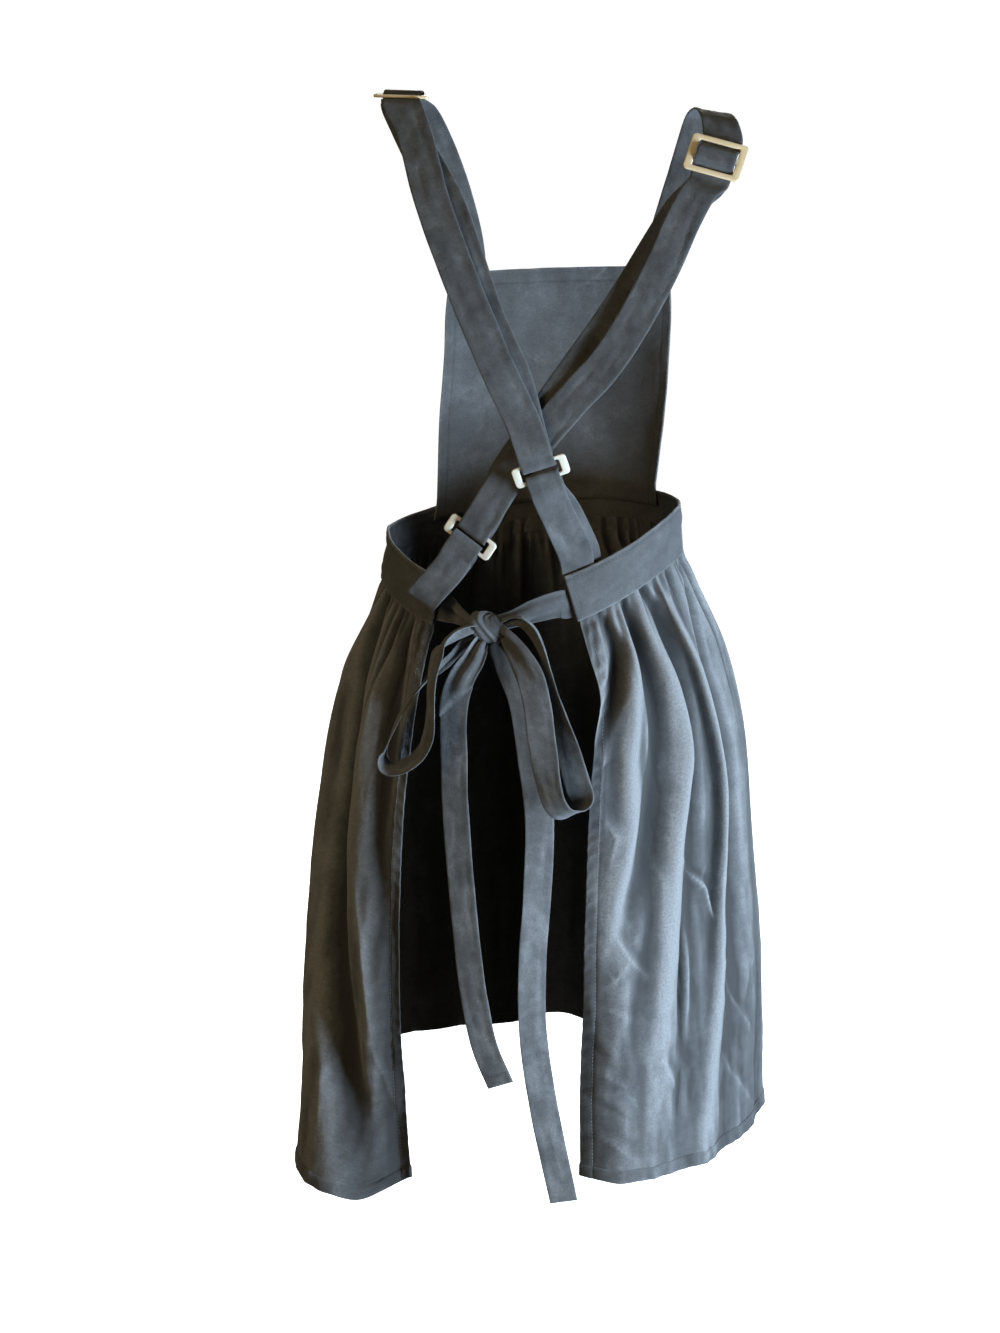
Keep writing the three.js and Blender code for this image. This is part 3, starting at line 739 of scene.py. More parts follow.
@dataclass
class Waistband:
    """Double band of cloth, stitched near its edges, with the gathered skirt pulling at its foot."""

    waist: Waist
    wall: float = 2.3
    left_end: Pair = (27.0, 31.0)
    right_end: Pair = (339.5, 334.0)
    columns: int = 420
    flat_length: float = 590.0
    stitch_line: float = 4.0
    stitch_sink: float = 0.22
    end_line: float = 0.0068
    high_as_turn: float = 22.0
    pull: float = 1.7
    wear_and_shade: float = 0.42
    drags: tuple[Drag, ...] = (
        Drag(268, 0.1, 284, 0.75, 1.0, 0.1),
        Drag(262, 0.3, 279, 0.95, -1.1, 0.08),
        Drag(276, 0.05, 292, 0.55, -0.8, 0.1),
        Drag(288, 0.1, 303, 0.5, 0.5, 0.09),
        Drag(298, 0.35, 322, 0.55, 0.45, 0.08),
        Drag(304, 0.6, 330, 0.75, -0.4, 0.07),
        Drag(60, 0.1, 78, 0.8, 0.9, 0.1),
        Drag(72, 0.05, 92, 0.7, -0.9, 0.1),
        Drag(88, 0.1, 100, 0.8, 0.6, 0.1),
        Drag(40, 0.3, 62, 0.55, 0.5, 0.09),
        Drag(120, 0.2, 140, 0.8, 0.6, 0.1),
        Drag(215, 0.8, 236, 0.2, 0.6, 0.1),
    )

    def surface(self, share: Array, down: Array) -> tuple[Array, Array]:
        """Points of the band's middle surface, with its pulls.

        Args:
            share: place round the band, 0 at the left end and 1 at the right end.
            down: place from the upper to the lower edge.

        Returns:
            The points and their turns.
        """
        left, right = (mix(*end, down) for end in (self.left_end, self.right_end))
        turn = mix(left, right, share)
        rise = 0.8 * soft_noise(turn / 16, down * 1.6, 4) + 0.35 * soft_noise(turn / 5, down * 3, 5)
        high = self.high_as_turn
        for d in self.drags:
            run = np.array([d.turn_b - d.turn_a, (d.down_b - d.down_a) * high])
            length = np.linalg.norm(run)
            off_turn, off_down = turn - d.turn_a, (down - d.down_a) * high
            u = (off_turn * run[0] + off_down * run[1]) / length**2
            v = (off_turn * run[1] - off_down * run[0]) / length / high
            rise = rise + self.pull * d.rise * bell(v / d.spread) * ease(-0.1, 0.25, u) * ease(1.1, 0.75, u)
        pucker = soft_noise(turn / 2.1, np.zeros_like(turn), 9)
        rise = rise + 0.5 * pucker * ease(0.72, 1.0, down)
        return self.waist.point(turn, down) + self.waist.outward(turn) * rise[..., None], turn

    def build(self) -> tuple[Cloth, Cloth]:
        """The band and its stitching."""
        height = self.waist.height
        share = np.linspace(0, 1, self.columns)
        near_top = (0, 0.012, 0.03, 0.06, 0.085, 0.1, 0.115)
        near_foot = (0.9, 0.94, 0.97, 0.988, 1)
        down = np.array([*near_top, *np.linspace(0.16, 0.84, 15), *near_foot])
        s, d = np.meshgrid(share, down, indexing="ij")
        grid, turn = self.surface(s, d)
        edge = np.minimum(d, 1 - d) * height
        ends = np.minimum(s, 1 - s) * self.flat_length
        groove = bell((d * height - self.stitch_line) / 0.7)
        end_groove = bell((ends - self.stitch_line) / 0.9)
        half = self.wall / 2 * rounded(edge, 1.5)
        half = half - self.stitch_sink * groove + 0.12 * soft_noise(turn / 3, d * 6, 2)
        half = np.maximum(half - 0.25 * end_groove, 0) * rounded(ends + 0.15, 1.6)
        half[:, 0] = half[:, -1] = 0
        # Edges and ends lighter with wear; painted shade along the stitch groove.
        wear_and_shade = self.wear_and_shade + 0.3 * bell(edge / 1.4) + 0.16 * bell(ends / 2) - 0.2 * groove
        band = shell(grid, half, down * height, share * self.flat_length, wear_and_shade)
        return band, self.stitches()

    def stitches(self) -> Cloth:
        """One row near the upper edge and one along each end."""
        sewing = Stitching()
        top = self.stitch_line / self.waist.height
        along = np.linspace(0.006, 0.994, 900)
        end = np.linspace(top, 0.97, 60)
        lines = [(along, np.full_like(along, top))]
        lines += [(np.full_like(end, share), end) for share in (self.end_line, 1 - self.end_line)]
        rows = []
        for share, down in lines:
            line, turn = self.surface(share, down)
            out = self.waist.outward(turn)
            rows.append(sewing.row(line + out * (self.wall / 2 - self.stitch_sink), out))
        return all_joined(rows)


# Skirt


class Fold(NamedTuple):
    """Fold of the skirt: rows of fraction down, turn, half-spread in degrees and height in mm."""

    rows: Rows
    lean: float = 0.0
    sharp: float = 1.0


class Crease(NamedTuple):
    """Crease in the cloth: turn and fraction down of three points, its height and its width in mm."""

    turn_a: float
    down_a: float
    turn_b: float
    down_b: float
    turn_c: float
    down_c: float
    rise: float
    width: float


@dataclass
class Skirt:
    """One panel gathered on to the band, hemmed at both back edges and at its foot.

    Sections are rows of fraction down, half-width, half-depth and centre. The hem line's rows are turn
    and height, and the right edge's are fraction down and turn.
    """

    waist: Waist
    sections: Rows = (
        (0, 122, 96, -2, 5),
        (0.06, 132, 110, -1, 7),
        (0.16, 149, 132, 1, 10),
        (0.34, 167, 155, 2, 14),
        (0.53, 178, 171, 3, 18),
        (0.7, 186, 181, 6, 21),
        (0.9, 193, 190, 8, 24),
        (1, 196, 194, 9, 25),
    )
    hem_line: Rows = (
        (25, -868), (30, -876), (34, -881), (38, -876), (42, -874), (47, -872), (58, -867),
        (75, -863), (120, -868), (180, -856), (240, -844), (290, -839), (320, -837), (337, -841),
    )
    left_edge: Pair = (31.0, 24.0)
    right_edge: Rows = (
        (0, 333), (0.06, 331), (0.13, 329), (0.2, 331.5),
        (0.32, 333.6), (0.54, 334.4), (0.8, 335.2), (1, 335),
    )
    tuck: float = 1.4
    seam_allowance: float = 11.0
    seam_set_in: float = 1.9
    # Folds of the left half from its back edge round, then those of the right half
    folds: tuple[Fold, ...] = (
        Fold(((0, 31, 10, 0), (0.3, 29, 10, -3), (0.6, 27, 10, -8), (0.8, 26, 11, -17), (1, 25, 12, -27))),
        Fold(((0, 66, 7, 0), (0.12, 71, 9, 8), (0.25, 76, 11, 9), (0.41, 71, 13, 9), (0.55, 64, 15, 11),
              (0.7, 57, 17, 15), (0.85, 48, 18, 20), (1, 43, 19, 25))),
        Fold(((0.62, 61, 14, 0), (0.8, 58, 14, 4), (1, 54, 14, 10))),
        Fold(((0, 63, 4, -2), (0.07, 62, 6, -10), (0.17, 59, 7, -15), (0.3, 56, 8, -16), (0.45, 54, 8, -15),
              (0.6, 50, 8, -12), (0.72, 44, 8, -10), (0.84, 38, 7.5, -9), (1, 34, 7, -6)), sharp=1.3),
        Fold(((0, 54, 5, 0), (0.07, 53, 6, 5), (0.2, 49, 8, 6), (0.39, 44, 9, 6), (0.54, 38, 8, 5),
              (0.7, 33, 7, 3), (0.85, 28, 6, 1), (1, 26, 6, 0))),
        Fold(((0, 44, 4, -1), (0.08, 42, 5, -6), (0.2, 39, 6, -7), (0.35, 36, 5, -4),
              (0.5, 33, 5, -1), (0.6, 32, 5, 0))),
        Fold(((0, 80, 6, 0), (0.15, 84, 8, -7), (0.5, 86, 8, -8), (1, 89, 9, -8))),
        Fold(((0, 326, 3, -2), (0.07, 321, 4.5, -9), (0.13, 324, 5, -9), (0.18, 328, 4, -6),
              (0.23, 331, 3.5, 0)), sharp=1.3),
        Fold(((0, 319, 4, 1), (0.08, 317, 5, 6), (0.15, 319, 6, 8), (0.25, 322, 6, 8),
              (0.41, 323, 7, 6), (0.6, 325, 8, 2), (0.75, 326, 8, 0))),
        Fold(((0, 315.5, 3, -2), (0.06, 313, 4, -8), (0.13, 311, 5, -9), (0.23, 311, 5, -8),
              (0.31, 314, 6, -7), (0.44, 320, 7, -7), (0.55, 325, 6, -4), (0.65, 328, 5, 0)), sharp=1.2),
        Fold(((0, 311, 4, 1), (0.09, 307, 5, 6), (0.17, 304, 6, 9), (0.26, 303, 6, 10), (0.4, 309, 6, 11),
              (0.55, 312, 7, 9), (0.7, 316, 8, 7), (0.85, 318, 9, 4), (1, 319, 10, 2))),
        Fold(((0, 306, 3, -2), (0.05, 301, 4, -9), (0.13, 299, 5, -11), (0.28, 298, 5, -10),
              (0.45, 301, 6, -8), (0.6, 304, 7, -4), (0.8, 307, 7, -2), (1, 309, 7, -1)), sharp=1.2),
        Fold(((0, 297, 3, 1), (0.09, 293, 5, 8), (0.16, 290, 5, 10), (0.3, 286.5, 5, 11), (0.4, 287, 5, 11),
              (0.52, 290, 5, 10), (0.67, 294, 6, 9), (0.81, 297, 7, 7), (1, 301, 9, 4)),
             lean=-0.75, sharp=1.5),
        Fold(((0, 274, 3, -2), (0.07, 278, 5, -9), (0.16, 282, 5, -12), (0.3, 279, 6, -11),
              (0.5, 281, 7, -9), (0.7, 285, 8, -6), (0.9, 290, 8, -3), (1, 292, 8, -2)), sharp=1.2),
        Fold(((0, 268, 5, 1), (0.15, 270, 8, 6), (0.5, 271, 9, 7), (1, 275, 10, 6))),
        Fold(((0.74, 327, 6, 0), (0.85, 326, 9, -5), (0.95, 328, 9, -3), (1, 329, 9, -2))),
        Fold(((0.2, 338, 11, 0), (0.35, 339, 13, -8), (0.6, 340, 15, -18), (0.8, 340, 16, -27),
              (1, 340, 16, -30))),
    )
    creases: tuple[Crease, ...] = (
        Crease(308, 0.44, 297, 0.52, 294, 0.6, 4.2, 4),
        Crease(306.5, 0.55, 307.5, 0.66, 309, 0.78, -8.0, 3.4),
        Crease(317, 0.78, 314, 0.81, 311, 0.85, 1.6, 4),
        Crease(309, 0.81, 310, 0.85, 311, 0.9, -1.8, 4),
        Crease(328, 0.53, 324, 0.59, 318, 0.64, 1.4, 4),
        Crease(324, 0.59, 327, 0.62, 332, 0.65, 1.2, 4),
        Crease(335, 0.67, 329, 0.68, 323, 0.7, 1.3, 5),
        Crease(295, 0.62, 286, 0.73, 275, 0.84, 1.8, 5),
        Crease(280, 0.68, 280, 0.72, 282, 0.76, -2.2, 5),
        Crease(294, 0.81, 288, 0.87, 272, 0.99, 1.7, 6),
        Crease(335, 0.72, 332, 0.75, 329, 0.78, -1.2, 5),
        Crease(335, 0.79, 330, 0.8, 324, 0.83, 1.4, 5),
        Crease(335, 0.84, 330, 0.86, 325, 0.88, -1.2, 5),
        Crease(334, 0.91, 328, 0.93, 322, 0.97, 1.4, 6),
        Crease(332, 0.31, 327, 0.37, 329, 0.43, 1.6, 5),
        Crease(334, 0.22, 330, 0.25, 325, 0.24, -1.6, 4),
        Crease(318, 0.4, 314, 0.47, 315, 0.55, 1.2, 6),
        Crease(303, 0.3, 300, 0.36, 302, 0.43, -1.4, 6),
        Crease(43, 0.43, 37, 0.56, 33, 0.71, 2.2, 6),
        Crease(34, 0.7, 30, 0.78, 27, 0.86, 1.8, 6),
        Crease(30, 0.4, 29, 0.5, 27, 0.6, -1.5, 5),
        Crease(52, 0.7, 46, 0.8, 43, 0.93, 1.2, 8),
    )
    right_from: float = 260.0
    right_gain: float = 1.25
    right_calm: float = 0.62
    front_count: int = 9
    front_turns: Pair = (97.0, 259.0)
    front_spread: float = 12.0
    gathers: int = 76
    gather_play: float = 0.42
    gather_depth: Pair = (2.6, 6.4)
    gather_half: Pair = (1.1, 1.9)
    gather_drift: float = 16.0
    short_reach: Pair = (0.03, 0.075)
    long_reach: Pair = (0.09, 0.2)
    long_share: float = 0.3
    chance_count: int = 70
    turn_mm: float = 3.3
    around_mm: float = 1020.0
    fall_mm: float = 470.0
    side_hem: float = 9.0
    foot_hem: float = 10.0
    cloth_gap: float = 1.1
    raw_edge_gap: float = 0.5
    hem_tip: float = 0.35
    hem_layers: tuple[int, ...] = (2, 4, 6, 8, 10)
    hem_faces: int = 6
    inner_wear: float = 0.8
    wear_and_shade: float = 0.42
    corner_lift: float = 9.0
    fine_rows: int = 36
    coarse_rows: int = 158
    coarse_columns: int = 380
    fine_to: float = 0.16
    flat_width: float = 1150.0
    flat_length: float = 490.0

    def front_folds(self) -> tuple[Fold, ...]:
        """Folds of the front, ridges and hollows in turn, evenly spread with a little play."""
        made = []
        for i in range(self.front_count):
            turn = mix(*self.front_turns, i / (self.front_count - 1)) + 4 * math.sin(2.4 * i)
            swell = (9 if i % 2 == 0 else -8) * (1 + 0.35 * math.sin(1.9 * i))
            heights = ((0, 0), (0.25, swell), (0.5, swell), (1, swell * 1.3))
            made.append(Fold(tuple((down, turn, self.front_spread, height) for down, height in heights)))
        return tuple(made)

    def fold_swell(self, turn: Array, down: Array) -> tuple[Array, Array]:
        """How far the main folds stand out, and how far they lean sideways.

        Args:
            turn: turns of the cloth's points.
            down: their fractions down.

        Returns:
            Both in mm.
        """
        swell, lean = np.zeros_like(turn), np.zeros_like(turn)
        for f in self.folds + self.front_folds():
            at = np.clip(down, f.rows[0][0], f.rows[-1][0])
            middle, spread, height = (smooth_column(f.rows, k, at) for k in (1, 2, 3))
            off = np.clip((turn - middle) / spread, -1, 1)
            first = f.rows[0][1]
            gain = self.right_gain if first > self.right_from else 1.0
            if self.right_from < first < self.right_edge[0][1]:
                gain = gain * mix(1.0, self.right_calm, ease(0.5, 1.0, down))
            height = gain * height * ((1 + np.cos(np.pi * off)) / 2) ** f.sharp
            swell += height
            lean += f.lean * height
        return swell, lean

    def gather_swell(self, turn: Array, down: Array) -> Array:
        """Small tight gathers at the seam, each with its own depth, drift and length.

        Args:
            turn: turns of the cloth's points.
            down: their fractions down.

        Returns:
            Height at each point, in mm.
        """
        play = np.random.default_rng(11)
        pitch = (self.right_edge[0][1] - self.left_edge[0]) / self.gathers
        swell = 1.6 * ease(0, 0.03, down) * np.exp(-((down / 0.1) ** 2))
        for k in range(self.gathers):
            place = self.left_edge[0] + pitch * (k + 0.5 + play.uniform(-self.gather_play, self.gather_play))
            depth = play.uniform(*self.gather_depth)
            reach = play.uniform(*(self.long_reach if play.random() < self.long_share else self.short_reach))
            drift = play.uniform(-self.gather_drift, self.gather_drift)
            half = play.uniform(*self.gather_half)
            narrow = np.maximum(1 - 0.55 * ease(0, 1.6 * reach, down), 0.3)
            off = (turn - place - drift * down) / (half * narrow)
            height = depth * (0.35 + 0.65 * ease(0, 0.022, down)) * np.exp(-((down / reach) ** 1.8))
            swell -= height * bell(off)
        return swell

    def crease_swell(self, turn: Array, down: Array, mm_per_turn: Array) -> Array:
        """Creases, each a low ridge with a hollow beside it, fading at its ends.

        Args:
            turn: turns of the cloth's points.
            down: their fractions down.
            mm_per_turn: millimetres to a degree of turn there.

        Returns:
            Height at each point, in mm.
        """
        swell = np.zeros_like(turn)
        for c in self.creases + self.chance_creases():
            swell += self.one_crease(c, turn, down, mm_per_turn)
        return swell

    def chance_creases(self) -> tuple[Crease, ...]:
        """Small creases strewn over the lower cloth, more of them low down."""
        play = np.random.default_rng(23)
        made = []
        for _ in range(self.chance_count):
            turn, down = play.uniform(34, 330), play.uniform(0.25, 0.96) ** 0.8
            slant, half = play.normal(0, 0.7), play.uniform(8, 26)
            dt, dd = half * math.sin(slant) / self.turn_mm, half * math.cos(slant) / self.fall_mm
            bend = play.uniform(-1.2, 1.2)
            rise = play.uniform(0.35, 0.95) * (1 if play.random() < 0.6 else -1)
            ends = ((turn - dt, down - dd), (turn + dt, down + dd))
            made.append(Crease(*ends[0], turn + bend, down, *ends[1], rise, play.uniform(3.5, 7)))
        return tuple(made)

    def one_crease(self, c: Crease, turn: Array, down: Array, mm_per_turn: Array) -> Array:
        """Height of one crease.

        Args:
            c: the crease.
            turn: turns of the cloth's points.
            down: their fractions down.
            mm_per_turn: millimetres to a degree of turn there.

        Returns:
            How far the crease lifts each point.
        """
        swell = np.zeros_like(turn)
        reach_down, reach_turn = 0.16, 26
        near = (np.abs(down - c.down_b) < reach_down) & (np.abs(turn - c.turn_b) < reach_turn)
        if not near.any():
            return swell
        t, d, mm = turn[near], down[near], mm_per_turn[near]
        x, y = (t - c.turn_b) * mm, (d - c.down_b) * self.fall_mm
        nodes = [
            ((a - c.turn_b) * mm, (b - c.down_b) * self.fall_mm)
            for a, b in ((c.turn_a, c.down_a), (c.turn_b, c.down_b), (c.turn_c, c.down_c))
        ]
        best = np.full_like(x, 1e9)
        side = np.zeros_like(x)
        place = np.zeros_like(x)
        for k in (0, 1):
            (ax, ay), (bx, by) = nodes[k], nodes[k + 1]
            rx, ry = bx - ax, by - ay
            u = np.clip(((x - ax) * rx + (y - ay) * ry) / np.maximum(rx**2 + ry**2, 1e-6), 0, 1)
            dx, dy = x - ax - u * rx, y - ay - u * ry
            far = np.hypot(dx, dy)
            sign = np.sign(rx * dy - ry * dx)
            closer = far < best
            best, side = np.where(closer, far, best), np.where(closer, sign, side)
            place = np.where(closer, (k + u) / 2, place)
        across = best * side / c.width
        fade = np.sin(np.pi * np.clip(place, 0, 1)) ** 0.8 * (best < 4 * c.width)
        ridge, hollow = 1.15 * np.exp(-1.3 * np.abs(across)), 0.6 * bell((across - 1.5) / 1.1)
        swell[near] = c.rise * fade * (ridge - hollow)
        return swell

    def surface(self, share: Array, down: Array) -> Array:
        """Points of the cloth.

        Args:
            share: place from the left edge, 0, to the right edge, 1.
            down: place from the seam, 0, to the hem, 1.

        Returns:
            Points in mm.
        """
        turn = self.turns(share, down)
        wide, deep, cx, cy = (smooth_column(self.sections, k, down) for k in (1, 2, 3, 4))
        sin, cos = sin_cos(turn)
        out = unit(np.stack([-sin / wide, -cos / deep], axis=-1))
        mm_per_turn = np.radians(1) * np.hypot(cos * wide, sin * deep)
        seam = self.waist.top(turn) - self.waist.height + self.tuck
        z = mix(seam, smooth_column(self.hem_line, 1, turn), down)
        swell, lean = self.fold_swell(turn, down)
        loose = ease(0.02, 0.2, down)
        swell += self.gather_swell(turn, down)
        swell += self.crease_swell(turn, down, mm_per_turn)
        around = turn * mm_per_turn
        swell += loose * 1.5 * soft_noise(turn / 9, down * 3.2, 31)
        swell += loose * 0.8 * soft_noise(turn / 3.6, down * 9, 32)
        swell += loose * ease(0.2, 0.8, down) * 0.5 * soft_noise(turn / 2.2, down * 24, 33)
        swell += self.hem_relief(share, down, around)
        # The seam's edge at the front goes up inside the band
        inside = ease(80, 105, turn) * ease(280, 255, turn) * ease(0.014, 0.004, down)
        swell -= self.seam_set_in * inside
        z = z + self.seam_allowance * inside
        x = cx - wide * sin + out[..., 0] * swell - out[..., 1] * lean
        y = cy - deep * cos + out[..., 1] * swell + out[..., 0] * lean
        drop = 0.9 * soft_noise(turn / 5, np.zeros_like(turn), 35) * ease(0.9, 1, down)
        drop = drop + self.corner_lift * (1 - ease(-0.01, 0.05, share)) * ease(0.7, 1, down)
        return np.stack([x, y, z + drop], axis=-1)

    def turns(self, share: Array, down: Array) -> Array:
        """Turn of each point round the waist."""
        left = mix(*self.left_edge, down)
        return mix(left, smooth_column(self.right_edge, 1, down), share)

    def painted_shade_patches(self, turn: Array, down: Array) -> Array:
        """Painted shade: how much darker the cloth is painted at the right side and near both lower corners.
        """
        side = 0.22 * bell((turn - 273) / 15) * ease(0.1, 0.3, down)
        right = 0.24 * bell((turn - 329) / 9) * ease(0.45, 0.75, down)
        left = 0.22 * bell((turn - 36) / 13) * ease(0.45, 0.8, down)
        return side + right + left

    def hem_relief(self, share: Array, down: Array, around: Array) -> Array:
        """Doubled cloth, stitch groove and puckers along the hems.

        Args:
            share: place from the left edge to the right edge.
            down: place from the seam to the hem.
            around: place round the skirt, in mm.

        Returns:
            Height at each point, in mm.
        """
        edge = np.minimum(share, 1 - share) * self.around_mm * ease(-0.4, 0.6, down)
        foot = (1 - down) * self.fall_mm
        run = down * self.fall_mm
        puckers = 0.55 + 0.45 * soft_noise(run / 40, share * 3, 41)
        side = np.sin(math.tau * (run / 12.5 + edge / 26) + 2.4 * soft_noise(run / 25, share * 5, 42))
        relief = 0.45 * ease(self.side_hem + 0.8, self.side_hem - 0.8, edge)
        relief += 1.05 * puckers * side * ease(self.side_hem + 5, 1.5, edge) * ease(-1, 3, edge)
        relief -= 0.55 * bell((edge - self.side_hem) / 0.9)
        bottom = np.sin(math.tau * (around / 15 + foot / 30) + 2.4 * soft_noise(around / 30, down * 2, 43))
        calm = 0.5 + 0.5 * soft_noise(around / 45, down * 2, 44)
        relief += 0.3 * ease(self.foot_hem + 0.8, self.foot_hem - 0.8, foot)
        relief += 0.45 * calm * bottom * ease(self.foot_hem + 7, 2, foot)
        relief -= 0.28 * bell((foot - self.foot_hem) / 1.0)
        return relief

    def places(self) -> tuple[Array, Array, Array]:
        """Shares of the coarse columns, and the fine and coarse rows."""
        hem = np.array([0, 0.7, 1.8, 3.4, 5.2, 7, 8.2, 8.7, 9.2, 9.8, 10.8, 12.4]) / self.around_mm
        start = 0.0145
        spread = np.linspace(0, 1, 2000)
        close = 1 + 2.6 * (ease(0.24, 0.17, spread) + ease(0.74, 0.8, spread))
        summed = np.concatenate([[0.0], np.cumsum(close)[:-1]])
        inner = np.linspace(0, 1, self.coarse_columns - 2 * len(hem) + 2)
        bunched = np.interp(inner, summed / summed[-1], spread)
        columns = np.concatenate([hem, mix(start, 1 - start, bunched), 1 - hem[::-1]])
        fine = np.linspace(0, 1, self.fine_rows) ** 1.15 * self.fine_to
        foot = 1 - np.array([12.6, 11.2, 10.6, 10, 9.4, 8.6, 7, 5, 3, 1.4, 0.5, 0]) / self.fall_mm
        middle = np.linspace(self.fine_to, foot[0], self.coarse_rows - len(foot) + 2)[1:-1]
        return columns, fine, np.concatenate([middle, foot])

    def fold_under(
        self, grid: Array, wear_and_shade: Array, uv: Array, facing: int = 1
    ) -> tuple[Array, Array, Array]:
        """Adds the turned-in layer of a hem beyond the last row of a grid.

        Args:
            grid: points, the hem's edge in the last row.
            wear_and_shade: wear with painted shade and highlights at each point.
            uv: cloth coordinates at each point.
            facing: -1 where the grid runs back to front.

        Returns:
            The three grids with the hem's inner layer.
        """
        normals = facing * grid_normals(grid)
        tip = grid[-1] + unit(grid[-1] - grid[-3]) * self.hem_tip - normals[-1] * self.cloth_gap / 2
        layers, worn_and_shaded, flat = [tip], [wear_and_shade[-1]], [uv[-1] * 2 - uv[-2]]
        for k in self.hem_layers:
            inset = self.raw_edge_gap if k == self.hem_layers[-1] else self.cloth_gap
            layers.append(grid[-k] - normals[-k] * inset)
            worn_and_shaded.append(wear_and_shade[-k] * self.inner_wear)
            flat.append(uv[-1] * 2 - uv[-k])
        return (
            np.concatenate([grid, np.stack(layers)]),
            np.concatenate([wear_and_shade, np.stack(worn_and_shaded)]),
            np.concatenate([uv, np.stack(flat)]),
        )

    def build(self) -> tuple[Cloth, Cloth]:
        """The skirt and its hem stitching."""
        columns, fine, coarse = self.places()
        between = (columns[1:] + columns[:-1]) / 2
        dense = np.sort(np.concatenate([columns, between]))
        upper = self.sheet(dense, np.concatenate([fine, coarse[:1]]))
        lower = self.sheet(columns, np.concatenate([fine[-1:], coarse]))
        upper = tuple(a[:, :-1] for a in upper)
        lower = tuple(a[:, 1:] for a in lower)
        lower = tuple(np.swapaxes(a, 0, 1) for a in lower)
        lower = tuple(np.swapaxes(a, 0, 1) for a in self.fold_under(*lower))
        return self.stitch_up(upper, lower), self.stitches()

    def sheet(self, columns: Array, rows: Array) -> tuple[Array, Array, Array]:
        """Grid of the cloth with both side hems turned in.

        Args:
            columns: places across.
            rows: places down.

        Returns:
            Points, wear and cloth coordinates, across then down.
        """
        share, down = np.meshgrid(columns, rows, indexing="ij")
        grid = self.surface(share, down)
        normals = grid_normals(grid)
        proud, broad, fold = (
            self.proud(grid, normals, share, down, reach) for reach in (0.0026, 0.009, 0.022)
        )
        edge = np.minimum(share, 1 - share) * self.around_mm
        foot = (1 - down) * self.fall_mm
        # Points that stand proud are painted lighter and sunken ones darker: painted highlights on the
        # ridges, painted shade in the hollows, partly also fading on the folds. The edges are lighter with
        # wear.
        ridge_fade_and_shade = np.clip(proud, -1, 1) * 0.25 + np.clip(broad, -4, 4) * 0.06 + np.clip(fold, -7, 7) * 0.045
        edges = 0.12 * (bell(edge / 1.6) + bell(foot / 1.6))
        wear_and_shade = self.wear_and_shade + ridge_fade_and_shade + edges - self.painted_shade_patches(self.turns(share, down), down)
        uv = np.stack([share * self.flat_width, down * self.flat_length], axis=-1)
        right = self.fold_under(grid, wear_and_shade, uv)
        both = self.fold_under(*(a[::-1] for a in right), facing=-1)
        return tuple(a[::-1] for a in both)

    def proud(self, grid: Array, normals: Array, share: Array, down: Array, reach: float) -> Array:
        """How far each point stands proud of the cloth a little to both sides, in mm."""
        around = (self.surface(share - reach, down) + self.surface(share + reach, down)) / 2
        return np.einsum("ijk,ijk->ij", grid - around, normals)

    def stitch_up(self, upper: tuple[Array, ...], lower: tuple[Array, ...]) -> Cloth:
        """Joins the fine upper grid and the coarse lower grid into one sheet.

        Args:
            upper: points, wear and cloth coordinates of the gathered part.
            lower: the same for the rest.

        Returns:
            The sheet.
        """
        points = np.concatenate([upper[0].reshape(-1, 3), lower[0].reshape(-1, 3)])
        wear_and_shade = np.concatenate([upper[1].reshape(-1), lower[1].reshape(-1)])
        flat = np.concatenate([upper[2].reshape(-1, 2), lower[2].reshape(-1, 2)])
        faces: Faces = []
        first = 0
        for grid in (upper[0], lower[0]):
            n, m = grid.shape[:2]
            i, j = np.meshgrid(np.arange(n - 1), np.arange(m - 1), indexing="ij")
            a = first + i * m + j
            quads = np.stack([a, a + 1, a + m + 1, a + m], axis=-1).reshape(-1, 4)
            faces += [tuple(q) for q in quads.tolist()]
            first += n * m
        faces += self.join_faces(upper[0].shape, lower[0].shape)
        uv = [tuple(p) for f in faces for p in flat[list(f)]]
        return Cloth(points, faces, uv, wear_and_shade)

    def join_faces(self, upper: tuple[int, ...], lower: tuple[int, ...]) -> Faces:
        """Faces between the last fine row and the first coarse row.

        Args:
            upper: shape of the fine grid.
            lower: shape of the coarse grid.

        Returns:
            The faces, by the numbers of their points.
        """
        hem = self.hem_faces
        base = upper[0] * upper[1]
        top = [i * upper[1] + upper[1] - 1 for i in range(upper[0])]
        foot = [base + i * lower[1] for i in range(lower[0])]
        faces: Faces = []
        for k in range(hem):
            faces.append((top[k], foot[k], foot[k + 1], top[k + 1]))
            faces.append((top[-2 - k], foot[-2 - k], foot[-1 - k], top[-1 - k]))
        for k in range(lower[0] - 1 - 2 * hem):
            a, b, c = (top[hem + 2 * k + n] for n in (0, 1, 2))
            d, e = foot[hem + k], foot[hem + k + 1]
            faces += [(a, d, b), (b, d, e), (b, e, c)]
        return faces

    def stitches(self) -> Cloth:
        """One row of stitches along each hem."""
        sewing = Stitching()
        side, foot = self.side_hem / self.around_mm, 1 - self.foot_hem / self.fall_mm
        rows = []
        down = np.linspace(0.01, foot, 900)
        for share in (side, 1 - side):
            beside = (share - 0.0012, share, share + 0.0012)
            line = np.stack([self.surface(np.full_like(down, s), down) for s in beside])
            rows.append(sewing.row(line[1], grid_normals(line)[1]))
        share = np.linspace(0.004, 0.996, 1600)
        line = np.stack([self.surface(share, np.full_like(share, foot + k)) for k in (-0.002, 0, 0.002)])
        rows.append(sewing.row(line[1], -grid_normals(line)[1]))
        return all_joined(rows)


# Bib


